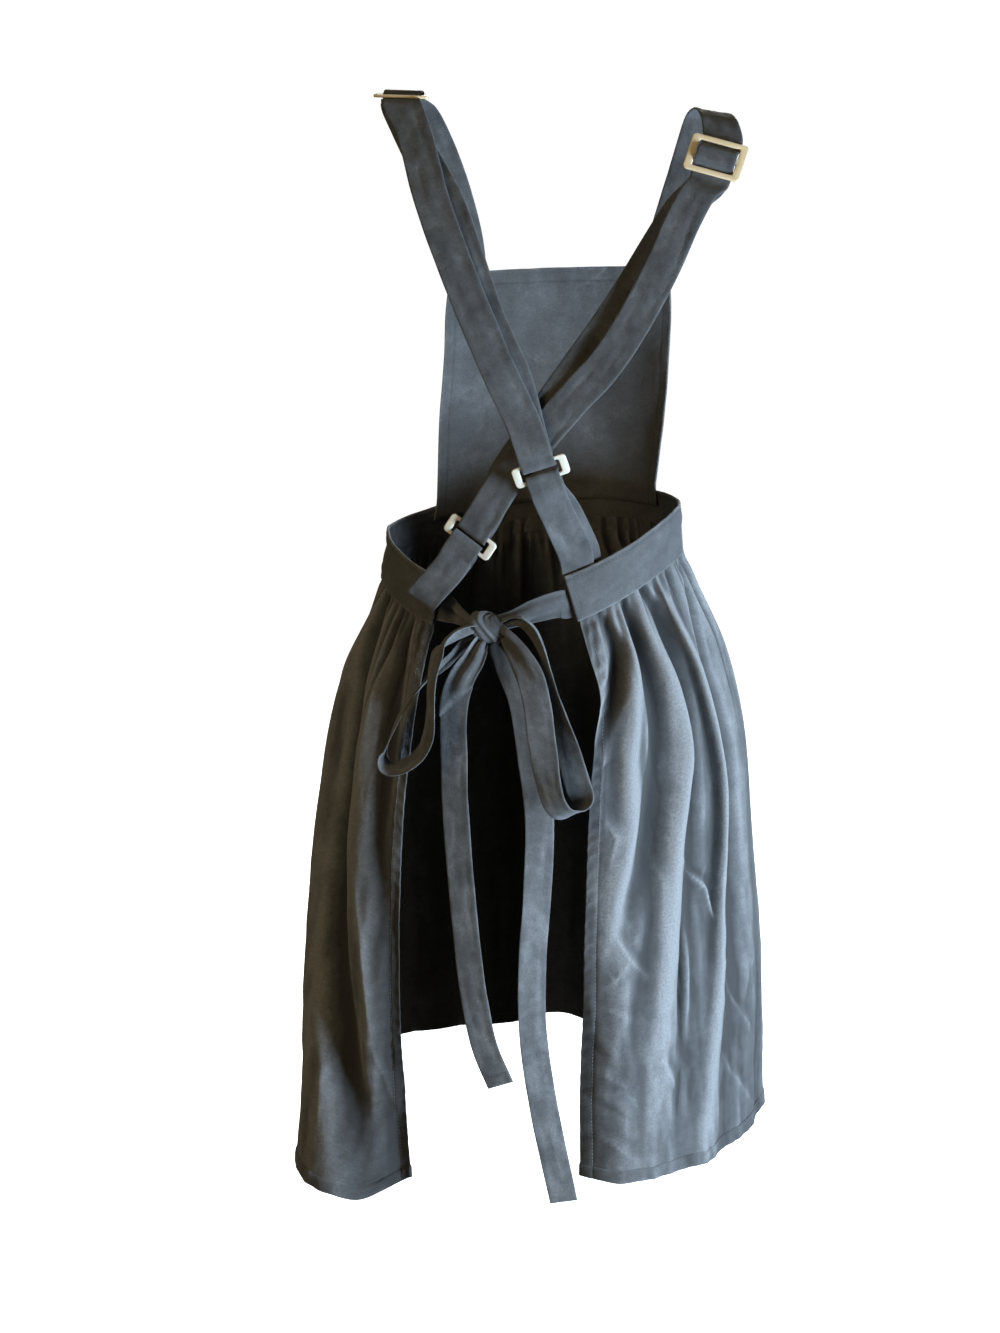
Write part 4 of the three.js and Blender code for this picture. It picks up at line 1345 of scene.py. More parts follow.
@dataclass
class Bib:
    """Plain panel over the chest, hemmed at its top and sides, its foot inside the band."""

    waist: Waist
    wall: float = 1.5
    tuck: float = 12.0
    top_z: float = -132.0
    tilt: float = 0.08
    foot_angle: float = 54.0
    top_angle: float = 37.0
    # Rows of fraction up, half-width and half-depth
    sections: Rows = (
        (0, 116.6, 90.6), (0.09, 116.6, 90.6), (0.35, 128, 101),
        (0.65, 140, 111), (0.85, 149, 106), (1, 152, 99),
    )
    hem: float = 12.0
    side_hem: float = 9.0
    height: float = 200.0
    half_across: float = 98.0
    wear_and_shade: float = 0.42
    flat_width: float = 215.0
    flat_length: float = 215.0

    def point(self, across: Array, up: Array) -> Array:
        """Points of the panel's middle surface.

        Args:
            across: place across, from -1 to 1.
            up: place from the foot to the top.

        Returns:
            Points in mm.
        """
        turn = 180 + across * mix(self.foot_angle, self.top_angle, up)
        side, front = sin_cos(turn)
        x = self.waist.centre[0] - smooth_column(self.sections, 1, up) * side
        y = self.waist.centre[1] - smooth_column(self.sections, 2, up) * front
        z = mix(self.waist.top(turn) - self.tuck, self.top_z + self.tilt * x, up)
        return np.stack([x, y, z], axis=-1)

    def ripple(self, across: Array, up: Array) -> Array:
        """Soft unevenness of the panel, in mm."""
        return 0.9 * soft_noise(across * 4, up * 3, 51) + 0.45 * soft_noise(across * 9, up * 8, 52)

    def places(self) -> tuple[Array, Array]:
        """Rows and columns, close together at the hems."""
        hem = 1 - self.hem / self.height
        near_hem = (hem - 0.008, hem, hem + 0.008)
        rows = [0, *np.linspace(0.02, hem - 0.02, 90), *near_hem, *np.linspace(hem + 0.02, 0.985, 6)]
        side = np.array([0, 0.004, 0.014, 0.03, 0.05, 0.07, 0.082, 0.09, 0.098, 0.11])
        columns = np.concatenate([-1 + side, np.linspace(-0.86, 0.86, 80), 1 - side[::-1]])
        return np.array([*rows, 0.993, 0.998, 1]), columns

    def build(self) -> tuple[Cloth, Cloth]:
        """The bib and its hem stitching."""
        rows, columns = self.places()
        up, across = np.meshgrid(rows, columns, indexing="ij")
        grid = self.point(across, up)
        normals = grid_normals(grid)
        from_top, from_side = (1 - up) * self.height, (1 - np.abs(across)) * self.half_across
        edge = np.minimum(from_side, from_top)
        pull = 1.6 * np.sin(np.abs(across) * 7 + up * 3) * ease(0.25, 0, up)
        swell = self.ripple(across, up) * ease(0, 0.15, up) + 0.4 * pull
        grid = grid + normals * swell[..., None]
        groove = bell((from_top - self.hem) / 0.8) + bell((from_side - self.side_hem) / 0.8)
        half = np.maximum(self.wall / 2 * rounded(edge, 1.2) - 0.2 * groove, 0)
        half[:, 0] = half[:, -1] = 0
        # Edges lighter with wear; painted shade along the hem stitch grooves.
        wear_and_shade = self.wear_and_shade + 0.25 * bell(edge / 1.5) - 0.15 * groove
        cloth = shell(grid, half, columns * self.half_across, rows * self.flat_length, wear_and_shade)
        return cloth, self.stitches()

    def stitches(self) -> Cloth:
        """Stitches of the top hem and the side hems."""
        sewing = Stitching()
        hem, side = 1 - self.hem / self.height, 1 - self.side_hem / self.half_across
        across = np.linspace(-0.9, 0.9, 240)
        rise = np.linspace(0.12, hem, 240)
        lines = [(across, np.full_like(across, hem))]
        lines += [(np.full_like(rise, sign * side), rise) for sign in (-1, 1)]
        rows = []
        for a, u in lines:
            line = self.point(a, u)
            out = unit((line - np.array([*self.waist.centre, 0])) * np.array([1, 1, 0]))
            rows.append(sewing.row(line + out * (self.wall / 2 + 0.3 + self.ripple(a, u)[:, None]), out))
        return all_joined(rows)


# Ribbons: straps, loops and ties


class Station(NamedTuple):
    """Place of a ribbon: its middle, the way its width points, and its width."""

    point: Array
    across: Array
    width: float


class Lap(NamedTuple):
    """Step across a ribbon: its place from the end, its slant, its height and how soon it fades, in mm."""

    from_end: float
    slant: float
    rise: float
    fade: float


@dataclass
class Ribbon:
    """Sewn tube of cloth pressed flat, along a route."""

    stations: list[Station]
    cut: float
    wall: float
    seed: int
    step: float = 1.3
    crumple: float = 0.35
    folds: float = 0.4
    fade: float = 0.38
    columns: int = 13
    waves: float = 1.0
    end_hem: float = 0.0
    laps: tuple[Lap, ...] = ()

    def route(self) -> tuple[Array, Array, Array, Array]:
        """Even steps along the smooth line through the stations.

        Returns:
            Middle points, ways across, widths and places along.
        """
        p = np.array([s.point for s in self.stations], float)
        a = unit(np.array([s.across for s in self.stations], float))
        w = np.array([s.width for s in self.stations], float)
        wide = np.concatenate([[2 * p[0] - p[1]], p, [2 * p[-1] - p[-2]]])
        fine, share = [], []
        for k in range(len(p) - 1):
            p0, p1, p2, p3 = wide[k : k + 4]
            d0, d1, d2 = (max(np.linalg.norm(q), 1e-6) ** 0.5 for q in (p1 - p0, p2 - p1, p3 - p2))
            m1 = ((p1 - p0) / d0 - (p2 - p0) / (d0 + d1) + (p2 - p1) / d1) * d1
            m2 = ((p2 - p1) / d1 - (p3 - p1) / (d1 + d2) + (p3 - p2) / d2) * d1
            t = np.linspace(0, 1, 40, endpoint=k == len(p) - 2)[:, None]
            fine.append(cubic(t, p1, p2, m1, m2))
            share.append(k + t[:, 0])
        line, place = np.concatenate(fine), np.concatenate(share)
        run = running_length(line)
        even = np.linspace(0, run[-1], max(int(run[-1] / self.step), 8))
        middle = read_along(even, run, line)
        at = np.interp(even, run, place)
        index = np.arange(len(p))
        across = read_along(at, index, a)
        width = np.interp(at, index, w)
        return middle, self.softened(across, 5), self.softened(width[:, None], 5)[:, 0], even

    @staticmethod
    def softened(values: Array, reach: int) -> Array:
        """Running mean along a route."""
        padded = np.pad(values, ((reach, reach), (0, 0)), mode="edge")
        total = np.cumsum(np.concatenate([np.zeros((1, values.shape[1])), padded]), axis=0)
        return (total[2 * reach + 1 :] - total[: -2 * reach - 1]) / (2 * reach + 1)

    def frames(self) -> tuple[Array, Array, Array, Array, Array]:
        """Middle line with its width and face directions, widths and places."""
        middle, across, width, place = self.route()
        tangent = unit(np.gradient(middle, axis=0))
        across = unit(across - tangent * np.einsum("ij,ij->i", across, tangent)[:, None])
        face = np.cross(tangent, across)
        return middle, across, face, width, place

    def section(self, width: Array, s: Array) -> tuple[Array, Array]:
        """Cross-section of the cloth, bunched where it is narrower than its cut.

        Args:
            width: width of the ribbon at each step.
            s: places across, -1 to 1.

        Returns:
            Offsets across and out of the flat, in mm.
        """
        trial = np.linspace(0, 1.2, 60)
        x = np.linspace(0, 1, 200)
        lengths = np.array([np.hypot(np.diff(x), np.diff(q * np.sin(math.tau * x))).sum() for q in trial])
        slack = np.clip(self.cut / np.maximum(width, 1), 1.0, lengths[-1])
        deep = np.interp(slack, lengths, trial) * width / self.waves
        across = np.outer(width / 2, s)
        out = deep[:, None] * np.sin(math.tau * self.waves * (s[None, :] + 1) / 2 + 0.4)
        return across, out

    def lengthwise(self, along: Array, s: Array) -> Array:
        """Two soft folds that wander along the ribbon, 0 to about 1."""
        still = np.zeros((1, 1))
        fold = np.zeros((len(along), len(s)))
        for k, home in enumerate((-0.4, 0.35)):
            wander = home + 0.4 * soft_noise(along / 80, still, self.seed + 11 + k)
            lift = np.clip(0.4 + soft_noise(along / 50, still, self.seed + 21 + k), 0, 1)
            fold = fold + lift * bell((s[None, :] - wander) / 0.15)
        return fold

    def calm(self, middle: Array) -> Array:
        """Share of the crumples left at each step: few in sharp bends, none at both ends."""
        bend = np.linalg.norm(np.gradient(unit(np.gradient(middle, axis=0)), axis=0), axis=1) / self.step
        steps = np.arange(len(middle))[:, None]
        return bell(self.softened(bend[:, None], 6) / 0.045) * ease(0, 12, np.minimum(steps, steps[::-1]))

    def half_wall(self, along: Array, edge: Array) -> Array:
        """Half of the thickness: round edges with a bead and a groove beside them, and a hemmed end.

        Args:
            along: places along, one to a row.
            edge: distance of each column from the nearer edge.

        Returns:
            Half of the wall's thickness at each point.
        """
        profile = rounded(edge, 0.8 * self.wall)
        profile = profile + 0.1 * bell((edge - 2.4) / 1.2) - 0.12 * bell((edge - 4.6) / 1.1)
        ends = np.minimum(along, along[::-1]) + 0.12
        half = self.wall / 2 * profile[None, :] * rounded(ends, self.wall)
        if self.end_hem:
            left = along[-1] - along
            half = half * (1 + 0.45 * ease(self.end_hem + 0.8, self.end_hem - 0.8, left))
            half = half - 0.3 * bell((left - self.end_hem) / 1.0) * profile[None, :]
        half = np.maximum(half, 0)
        half[:, 0] = half[:, -1] = 0
        return half

    def build(self) -> Cloth:
        """The ribbon as a soft closed wall."""
        middle, across, face, width, place = self.frames()
        s = np.sin(np.linspace(-math.pi / 2, math.pi / 2, self.columns))
        s = np.sign(s) * np.abs(s) ** 0.85
        x, h = self.section(width, s)
        along = place[:, None]
        relief = soft_noise(along / 23, s[None, :] * 1.1, self.seed)
        relief = relief + 0.45 * soft_noise(along / 8, s[None, :] * 2.2, self.seed + 1)
        fold = self.lengthwise(along, s)
        h = h + (self.crumple * relief + self.folds * fold) * self.calm(middle)
        x = x * (1 + 0.018 * soft_noise(along / 30, np.zeros((1, 1)), self.seed + 2))
        for lap in self.laps:
            off = place[-1] - along - lap.from_end + lap.slant * x
            h = h + lap.rise * ease(-1.0, 1.0, off) * ease(lap.fade, 3, off)
        grid = middle[:, None] + across[:, None] * x[..., None] + face[:, None] * h[..., None]
        edge = (1 - np.abs(s)) * self.cut / 2
        # Edges a little lighter with wear; crumples and lengthwise folds painted lighter where raised and
        # darker where sunken, painted highlights and painted shade, partly also fading on the folds.
        wear_and_shade = self.fade + 0.03 * bell(edge / 1.2)[None, :] + 0.16 * relief + 0.16 * fold
        return shell(grid, self.half_wall(along, edge), (s + 1) * self.cut / 2, place, wear_and_shade)

    def length(self) -> float:
        """Length along the middle line, in mm."""
        return float(self.route()[3][-1])

    def end_stitches(self) -> Cloth:
        """Stitches across the hem of the free end, on both faces."""
        middle, across, face, width, place = self.frames()
        k = int(np.searchsorted(place, place[-1] - self.end_hem))
        s = np.linspace(-0.9, 0.9, 24)
        rows = []
        for sign in (1, -1):
            out = np.repeat((sign * face[k])[None, :], len(s), axis=0)
            line = middle[k] + across[k] * (s * width[k] / 2)[:, None] + out * (self.wall / 2 + 0.05)
            rows.append(Stitching(pitch=2.6, length=1.9).row(line, out))
        return all_joined(rows)


@dataclass
class Place:
    """Where a fitting sits: its middle, the way the strap runs through it and the way it faces."""

    at: Triple
    along: Triple
    out: Triple

    def axes(self) -> tuple[Array, Array, Array, Array]:
        """Middle, run, width and face directions."""
        run = unit(np.array(self.along, float))
        across = unit(np.cross(run, np.array(self.out, float)))
        return np.array(self.at, float), run, across, np.cross(across, run)

    def matrix(self) -> Matrix:
        """Matrix that seats a fitting made flat at the origin, in metres."""
        at, run, across, face = self.axes()
        rows = [[across[k], run[k], face[k], at[k] * MM] for k in range(3)]
        return Matrix([*rows, [0, 0, 0, 1]])

    def through(self, path: Rows, width: float, sign: int = 1, shift: float = 0.0) -> list[Station]:
        """Stations of a strap threaded through the fitting.

        Args:
            path: places along the strap and out of the fitting's face.
            width: the strap's width.
            sign: which way along the fitting the strap runs.
            shift: how far the strap sits to one side.

        Returns:
            The stations.
        """
        at, run, across, face = self.axes()
        at = at + across * shift
        return [Station(at + run * sign * a + face * o, across, width) for a, o in path]


SLIDER_AT = {
    Side.LEFT: Place((-116, -2, 5), (0.1, -0.99, -0.02), (0, -0.02, 0.99)),
    Side.RIGHT: Place((137, -45, -30), (-0.2, -0.48, -0.85), (0.08, -0.86, 0.5)),
}
RING_AT = {
    Side.LEFT: Place((22, -103, -267), (0.35, 0.13, -0.93), (0.1, -0.98, -0.1)),
    Side.RIGHT: Place((-34, -91, -325), (-0.52, -0.03, -0.85), (-0.12, -0.99, 0.1)),
}
SLIDER_WAVE = (
    (-16, -3.6), (-13, -3.2), (-10.2, -2.7), (-7.6, 0.1), (-4.8, 3.1), (0, 3.75),
    (4.8, 3.1), (7.6, 0.1), (10.2, -2.7), (13, -2.9), (19, -2.9),
)
SLIDER_WRAP = (
    (20, -5.9), (13, -5.5), (7, -5.1), (2.4, -4.3), (-1.2, -3.1), (-3.1, -1.7),
    (-3.2, 0.4), (-2.4, 1.75), (0, 2.12), (2.4, 1.75), (3.2, 0.4), (3.2, -1.1),
)
RING_WRAP = (
    (-17, 3.1), (-10, 2.9), (-5, 2.8), (-2.5, 1.6), (-1.75, 0),
    (-2.5, -1.6), (-5, -2.8), (-10, -2.9), (-17, -3.1),
)


# Just over half of the band's wall, and the gap between layers sewn together
BAND_HALF = 1.2
LAYER_GAP = 0.4


def stand_off(width: float, radius: float) -> float:
    """How far the edges of a flat strip stand off a round surface that it touches in its middle."""
    return width * width / (8 * radius)


def free_run(points: Rows, first: Array, last: Array, width: float) -> list[Station]:
    """Stations of a free run, the width turning evenly from one direction to another."""
    share = [(k + 1) / (len(points) + 1) for k in range(len(points))]
    return [Station(np.array(p, float), unit(mix(first, last, t)), width) for p, t in zip(points, share)]


@dataclass
class Strap:
    """Strap from a corner of the bib, over the shoulder, through its slider and ring and back up."""

    side: Side
    bib: Bib
    chest: Rows
    outer: Rows
    inner: Rows
    width: float = 27.0
    wall: float = 1.5
    spread: float = 4.0
    over_shift: float = -0.3
    wrap_shift: float = 0.5
    seed: int = 60
    crumple: float = 0.6
    folds: float = 0.8
    columns: int = 21

    def sewn(self) -> list[Station]:
        """Stations where the strap is sewn behind the bib's corner."""
        sign = self.side.value
        made = []
        for up in (0.9, 0.97):
            at, edge, inner, low = (
                self.bib.point(np.array(sign * s), np.array(u))
                for s, u in ((0.8, up), (0.98, up), (0.62, up), (0.8, up - 0.05))
            )
            across = unit((edge - inner) * -sign)
            inward = unit(np.cross(across, at - low))
            inward = inward * np.sign(-inward[1])
            behind = self.wall / 2 + self.bib.wall / 2 + LAYER_GAP
            behind += 2 * stand_off(self.width, self.bib.waist.half_depth)
            made.append(Station(at + inward * behind, across, self.width))
        return made

    def ribbon(self) -> Ribbon:
        """The strap's ribbon."""
        slider, ring = SLIDER_AT[self.side], RING_AT[self.side]
        first, at_slider, at_ring = self.sewn(), slider.axes()[2], ring.axes()[2]
        stations = [
            *first,
            *free_run(self.chest, first[1].across, at_slider, self.width),
            *slider.through(SLIDER_WAVE, self.width + self.spread, shift=self.over_shift),
            *free_run(self.outer, at_slider, at_ring, self.width),
            *ring.through(RING_WRAP, self.width),
            *free_run(self.inner, at_ring, at_slider, self.width),
            *slider.through(SLIDER_WRAP, self.width + self.spread / 2, shift=self.wrap_shift),
        ]
        look = {"crumple": self.crumple, "folds": self.folds, "columns": self.columns}
        return Ribbon(stations, self.width, self.wall, self.seed + self.side.value, **look)


class Sewn(NamedTuple):
    """Place inside the band: turn, fraction of its height, and layer."""

    turn: float
    down: float
    layer: float


def sewn_inside(waist: Waist, place: Sewn, across: Array, width: float, wall: float) -> Station:
    """Station of a ribbon sewn inside the band, its width lying in the band's surface.

    Args:
        waist: ellipse of the band.
        place: turn, and place down the band.
        across: way across the ribbon.
        width: the ribbon's width.
        wall: its thickness.

    Returns:
        The ribbon's station there.
    """
    turn = np.array(place.turn)
    normal = waist.outward(turn)
    off = BAND_HALF + LAYER_GAP + wall / 2 + stand_off(width, waist.half_depth)
    off += (place.layer - 1) * (wall + LAYER_GAP)
    point = waist.point(turn, np.array(place.down)) - normal * off
    return Station(point, unit(across - normal * float(across @ normal)), width)


@dataclass
class BackLoop:
    """Short loop from a band end through a strap's ring."""

    waist: Waist
    ring: Place
    outer: Rows
    outer_end: tuple[Sewn, ...]
    inner: Rows
    inner_end: tuple[Sewn, ...]
    width: float = 27.0
    wall: float = 1.5
    seed: int = 70
    step: float = 0.9
    crumple: float = 0.8
    folds: float = 0.7
    columns: int = 21

    def ribbon(self) -> Ribbon:
        """The loop's ribbon."""
        turned = self.ring.axes()[2]
        first = [sewn_inside(self.waist, s, turned, self.width, self.wall) for s in self.inner_end]
        last = [sewn_inside(self.waist, s, turned, self.width, self.wall) for s in self.outer_end]
        stations = [
            *first,
            *free_run(self.inner, first[1].across, turned, self.width),
            *self.ring.through(RING_WRAP[::-1], self.width, -1),
            *free_run(self.outer, turned, last[0].across if last else turned, self.width),
            *last,
        ]
        look = {"crumple": self.crumple, "folds": self.folds, "columns": self.columns}
        return Ribbon(stations, self.width, self.wall, self.seed, step=self.step, **look)


@dataclass
class Bow:
    """The two waist ties, knotted into a bow. Rows hold the middle, the way across and the width."""

    waist: Waist
    width: float = 23.0
    wall: float = 1.1
    left_root: tuple[Sewn, ...] = (Sewn(38, 0.62, 1.1), Sewn(31, 0.62, 1.1))
    right_root: tuple[Sewn, ...] = (Sewn(329, 0.6, 1.1), Sewn(337.5, 0.6, 1.1))
    left: Rows = (
        (-49, -81, -387, -0.1, -0.1, 1, 23),
        (-37, -97, -388, -0.1, -0.4, 0.9, 15),
        (-25, -105, -389, 0, -0.9, 0.3, 9),
        (-12, -107, -390, 0, -1, 0, 9),
        (-5, -109, -392, 0.2, -0.9, 0.2, 10),
        (0, -114, -395, 0.5, -0.8, 0.3, 13),
        (6, -119, -400, 0.7, -0.6, 0.4, 16),
        (16.5, -128, -411, 0.85, -0.3, 0.4, 21),
        (26, -135, -424, 0.92, -0.15, 0.35, 23),
        (33.5, -141, -446.5, 0.95, -0.1, 0.2, 23),
        (37, -145, -464, 0.95, -0.12, 0.2, 23),
        (41, -148, -482, 0.92, -0.2, 0.25, 23),
        (44.5, -150, -498, 0.88, -0.3, 0.35, 23),
        (51, -151, -517.5, 0.78, -0.42, 0.45, 23),
        (58, -147, -526, 0.72, -0.48, 0.52, 23),
        (66, -140, -526, 0.72, -0.45, 0.55, 23),
        (69.5, -134, -518, 0.8, -0.3, 0.5, 23),
        (64.5, -131, -505, 0.88, -0.2, 0.4, 23),
        (56, -129, -480, 0.85, -0.35, 0.35, 23),
        (47, -127, -455, 0.7, -0.6, 0.3, 23),
        (41, -126, -434, 0.5, -0.8, 0.25, 23),
        (36.5, -125, -418, 0.4, -0.87, 0.25, 23),
        (30.5, -123, -402, 0.42, -0.8, 0.4, 21),
        (22, -119, -390, 0.4, -0.6, 0.7, 17),
        (10.5, -113, -384.5, 0.2, -0.5, 0.85, 12),
        (-1.5, -108, -388, 0, -0.7, 0.7, 9),
        (-9, -106, -393.5, -0.2, -0.8, 0.5, 8),
        (-15, -107, -398.5, -0.5, -0.6, 0.6, 9),
        (-17, -113, -402, -0.8, -0.2, 0.55, 12),
        (-18.5, -117.5, -405, -0.84, 0, 0.54, 14),
        (-23, -119.5, -416, -0.86, 0.05, 0.5, 18),
        (-30.5, -121, -429.5, -0.85, 0.1, 0.5, 21),
        (-35.5, -121.5, -446, -0.95, 0.15, 0.3, 23),
        (-37, -121, -465.5, -0.97, 0.2, 0.05, 23),
        (-35, -124, -496.5, -0.97, 0.2, 0, 23),
        (-32, -128, -534.5, -0.97, 0.22, 0, 23),
        (-21, -132, -627, -0.97, 0.2, 0.05, 23),
        (-11, -135, -690, -0.98, 0.15, 0, 23),
        (0, -137, -733, -1, 0.1, 0, 23),
        (14, -138, -763, -1, 0.1, 0, 23),
    )
    right_lead: Rows = (
        (38, -84.5, -375, 0, 0, 1, 22),
        (20, -93, -380, 0.1, 0, 1, 19),
        (3, -97.5, -387, 0.1, 0, 1, 13),
        (-9, -98.2, -391, 0.1, 0, 1, 12),
    )
    right_loop: Rows = (
        (-21, -114, -392.5, 0.1, -0.4, 0.9, 10),
        (-26, -116.5, -393, 0.2, -0.4, 0.9, 12),
        (-39, -121, -399.5, 0.35, -0.5, 0.8, 18),
        (-48, -126, -407.5, 0.6, -0.6, 0.55, 22),
        (-51.5, -130, -421.5, 0.5, -0.85, 0.15, 23),
        (-52.5, -134, -438, 0.45, -0.9, 0, 23),
        (-52, -137, -458, 0.48, -0.87, 0, 23),
        (-53, -138, -475, 0.5, -0.85, -0.1, 23),
        (-59.5, -138, -490.5, 0.35, -0.9, -0.25, 23),
        (-72.5, -136, -502, 0.15, -0.95, -0.27, 23),
        (-84.5, -132, -505, 0, -0.97, -0.22, 23),
        (-90, -127, -499, 0.05, -0.98, -0.1, 23),
        (-86.5, -122, -482, 0.2, -0.95, 0.1, 23),
        (-76, -118, -457.5, 0.4, -0.8, 0.4, 23),
        (-60, -114, -437, 0.5, -0.5, 0.7, 23),
        (-43, -112, -419, 0.55, -0.3, 0.75, 19),
        (-29.5, -110, -404, 0.5, -0.3, 0.8, 12),
        (-22, -109, -398, 0.4, -0.3, 0.85, 9),
    )
    right_tail: Rows = (
        (-9, -104, -403.6, 1, 0, 0.2, 12),
        (-5, -103, -412, 1, 0, 0.2, 16),
        (4, -102, -428, 1, 0, 0.25, 22),
        (14, -103, -450, 1, 0, 0.25, 23),
        (24, -108, -494, 1, 0, 0.2, 23),
        (33, -114, -541, 0.95, 0.2, 0.1, 23),
        (35, -122, -606, 0.9, 0.38, 0, 23),
        (34, -126, -656, 0.9, 0.42, 0, 23),
        (37, -130, -715, 0.9, 0.4, 0.05, 23),
        (48, -133, -776, 0.95, 0.25, 0.1, 23),
        (69, -136, -860, 1, 0.05, 0.2, 23),
    )
    knot_at: Triple = (-14.0, -107.0, -392.0)
    knot_size: Triple = (28.0, 22.0, 22.0)
    knot_ridges: Rows = (
        (-0.75, 0.2, 1.0), (-0.3, 0.22, 1.5), (0.15, 0.18, 1.7), (0.55, 0.2, 1.2), (0.95, 0.2, 0.8),
    )
    knot_grid: tuple[int, int] = (120, 60)
    end_hem: float = 9.0
    fade: float = 0.52
    # The lead is painted darker than the other ties: painted shade.
    shaded_lead_fade: float = 0.3
    step: float = 1.1
    columns: int = 17
    waves: float = 1.6
    lead_waves: float = 1.3
    left_seed: int = 80
    right_seeds: tuple[int, int, int] = (84, 87, 90)
    left_lap: Lap = Lap(from_end=322.0, slant=1.4, rise=-2.6, fade=40.0)

    def stations(self, rows: Rows) -> list[Station]:
        """Stations of table rows."""
        return [Station(np.array(r[:3], float), np.array(r[3:6], float), r[6]) for r in rows]

    def root(self, places: tuple[Sewn, ...]) -> list[Station]:
        """Stations where a tie is sewn inside the band."""
        return [sewn_inside(self.waist, p, np.array([0.0, 0, 1]), self.width, self.wall) for p in places]

    def tie(self, stations: list[Station], seed: int, **look: Any) -> Ribbon:
        """Ribbon of a tie, with looks of its own where they are given."""
        look = {"step": self.step, "columns": self.columns, "fade": self.fade, **look}
        return Ribbon(stations, self.width, self.wall, seed, **look)

    def left_tie(self) -> Ribbon:
        """The left tie: right loop and left tail."""
        stations = self.root(self.left_root) + self.stations(self.left)
        look = {"waves": self.waves, "laps": (self.left_lap,)}
        return self.tie(stations, self.left_seed, end_hem=self.end_hem, **look)

    def right_ties(self) -> list[Ribbon]:
        """The right tie's lead, left loop and right tail."""
        lead = self.root(self.right_root) + self.stations(self.right_lead)
        lead_seed, loop_seed, tail_seed = self.right_seeds
        return [
            self.tie(lead, lead_seed, waves=self.lead_waves, fade=self.shaded_lead_fade),
            self.tie(self.stations(self.right_loop), loop_seed, waves=self.waves),
            self.tie(self.stations(self.right_tail), tail_seed, end_hem=self.end_hem),
        ]

    def knot(self) -> Cloth:
        """Cloth wound round the middle of the bow, creased along its winding."""
        turns, steps = self.knot_grid
        around = np.linspace(0, math.tau, turns, endpoint=False)
        side = np.linspace(-1, 1, steps)
        a, s = np.meshgrid(around, side, indexing="ij")
        slant = s + 0.45 * np.sin(a + 0.5) + 0.12 * np.sin(2 * a)
        ridge = np.zeros_like(a)
        for k, (middle, width, rise) in enumerate(self.knot_ridges):
            wave = 0.08 * np.sin(2 * a + k)
            ridge += rise * bell((slant - middle - wave) / width)
        overlap = 1.6 * ease(0.06, -0.02, slant - 0.32) * ease(-1.2, -0.6, slant)
        fine = 0.4 * soft_noise(np.sin(a) * 2 + slant * 5, np.cos(a) * 2, 97)
        closing = np.sqrt(np.maximum(1 - np.abs(s) ** 3.2, 0.0)) * 0.42 + 0.58
        closing = closing - 0.3 * ease(0.86, 1.0, np.abs(s))
        lift = ridge + overlap + fine - 1.6
        length, depth, height = self.knot_size
        y = -np.cos(a) * (depth / 2 * closing + lift)
        z = np.sin(a) * (height / 2 * closing + lift)
        x = s * length / 2 * (1 + 0.04 * np.cos(2 * a)) - 1.4 * np.sin(a)
        points = np.stack([x, y, z], axis=-1) + np.array(self.knot_at)
        winding_radius = 13
        faces, uv = [], []
        for i in range(turns):
            n = (i + 1) % turns
            for j in range(steps - 1):
                faces.append((i * steps + j, n * steps + j, n * steps + j + 1, i * steps + j + 1))
                rows = ((i, j), (i + 1, j), (i + 1, j + 1), (i, j + 1))
                uv += [(side[q] * length / 2, around[1] * p * winding_radius) for p, q in rows]
        for end in (0, steps - 1):
            cap = tuple(i * steps + end for i in range(turns))
            faces.append(cap if end else cap[::-1])
            uv += [(0.0, 0.0)] * turns
        # The knot is painted darker than the rest of the cloth, painted shade, with painted highlights on
        # its ridges and on the overlap.
        wear_and_shade = 0.18 + 0.15 * ridge + 0.1 * overlap
        return Cloth(points.reshape(-1, 3), faces, uv, wear_and_shade.reshape(-1))


# Fittings


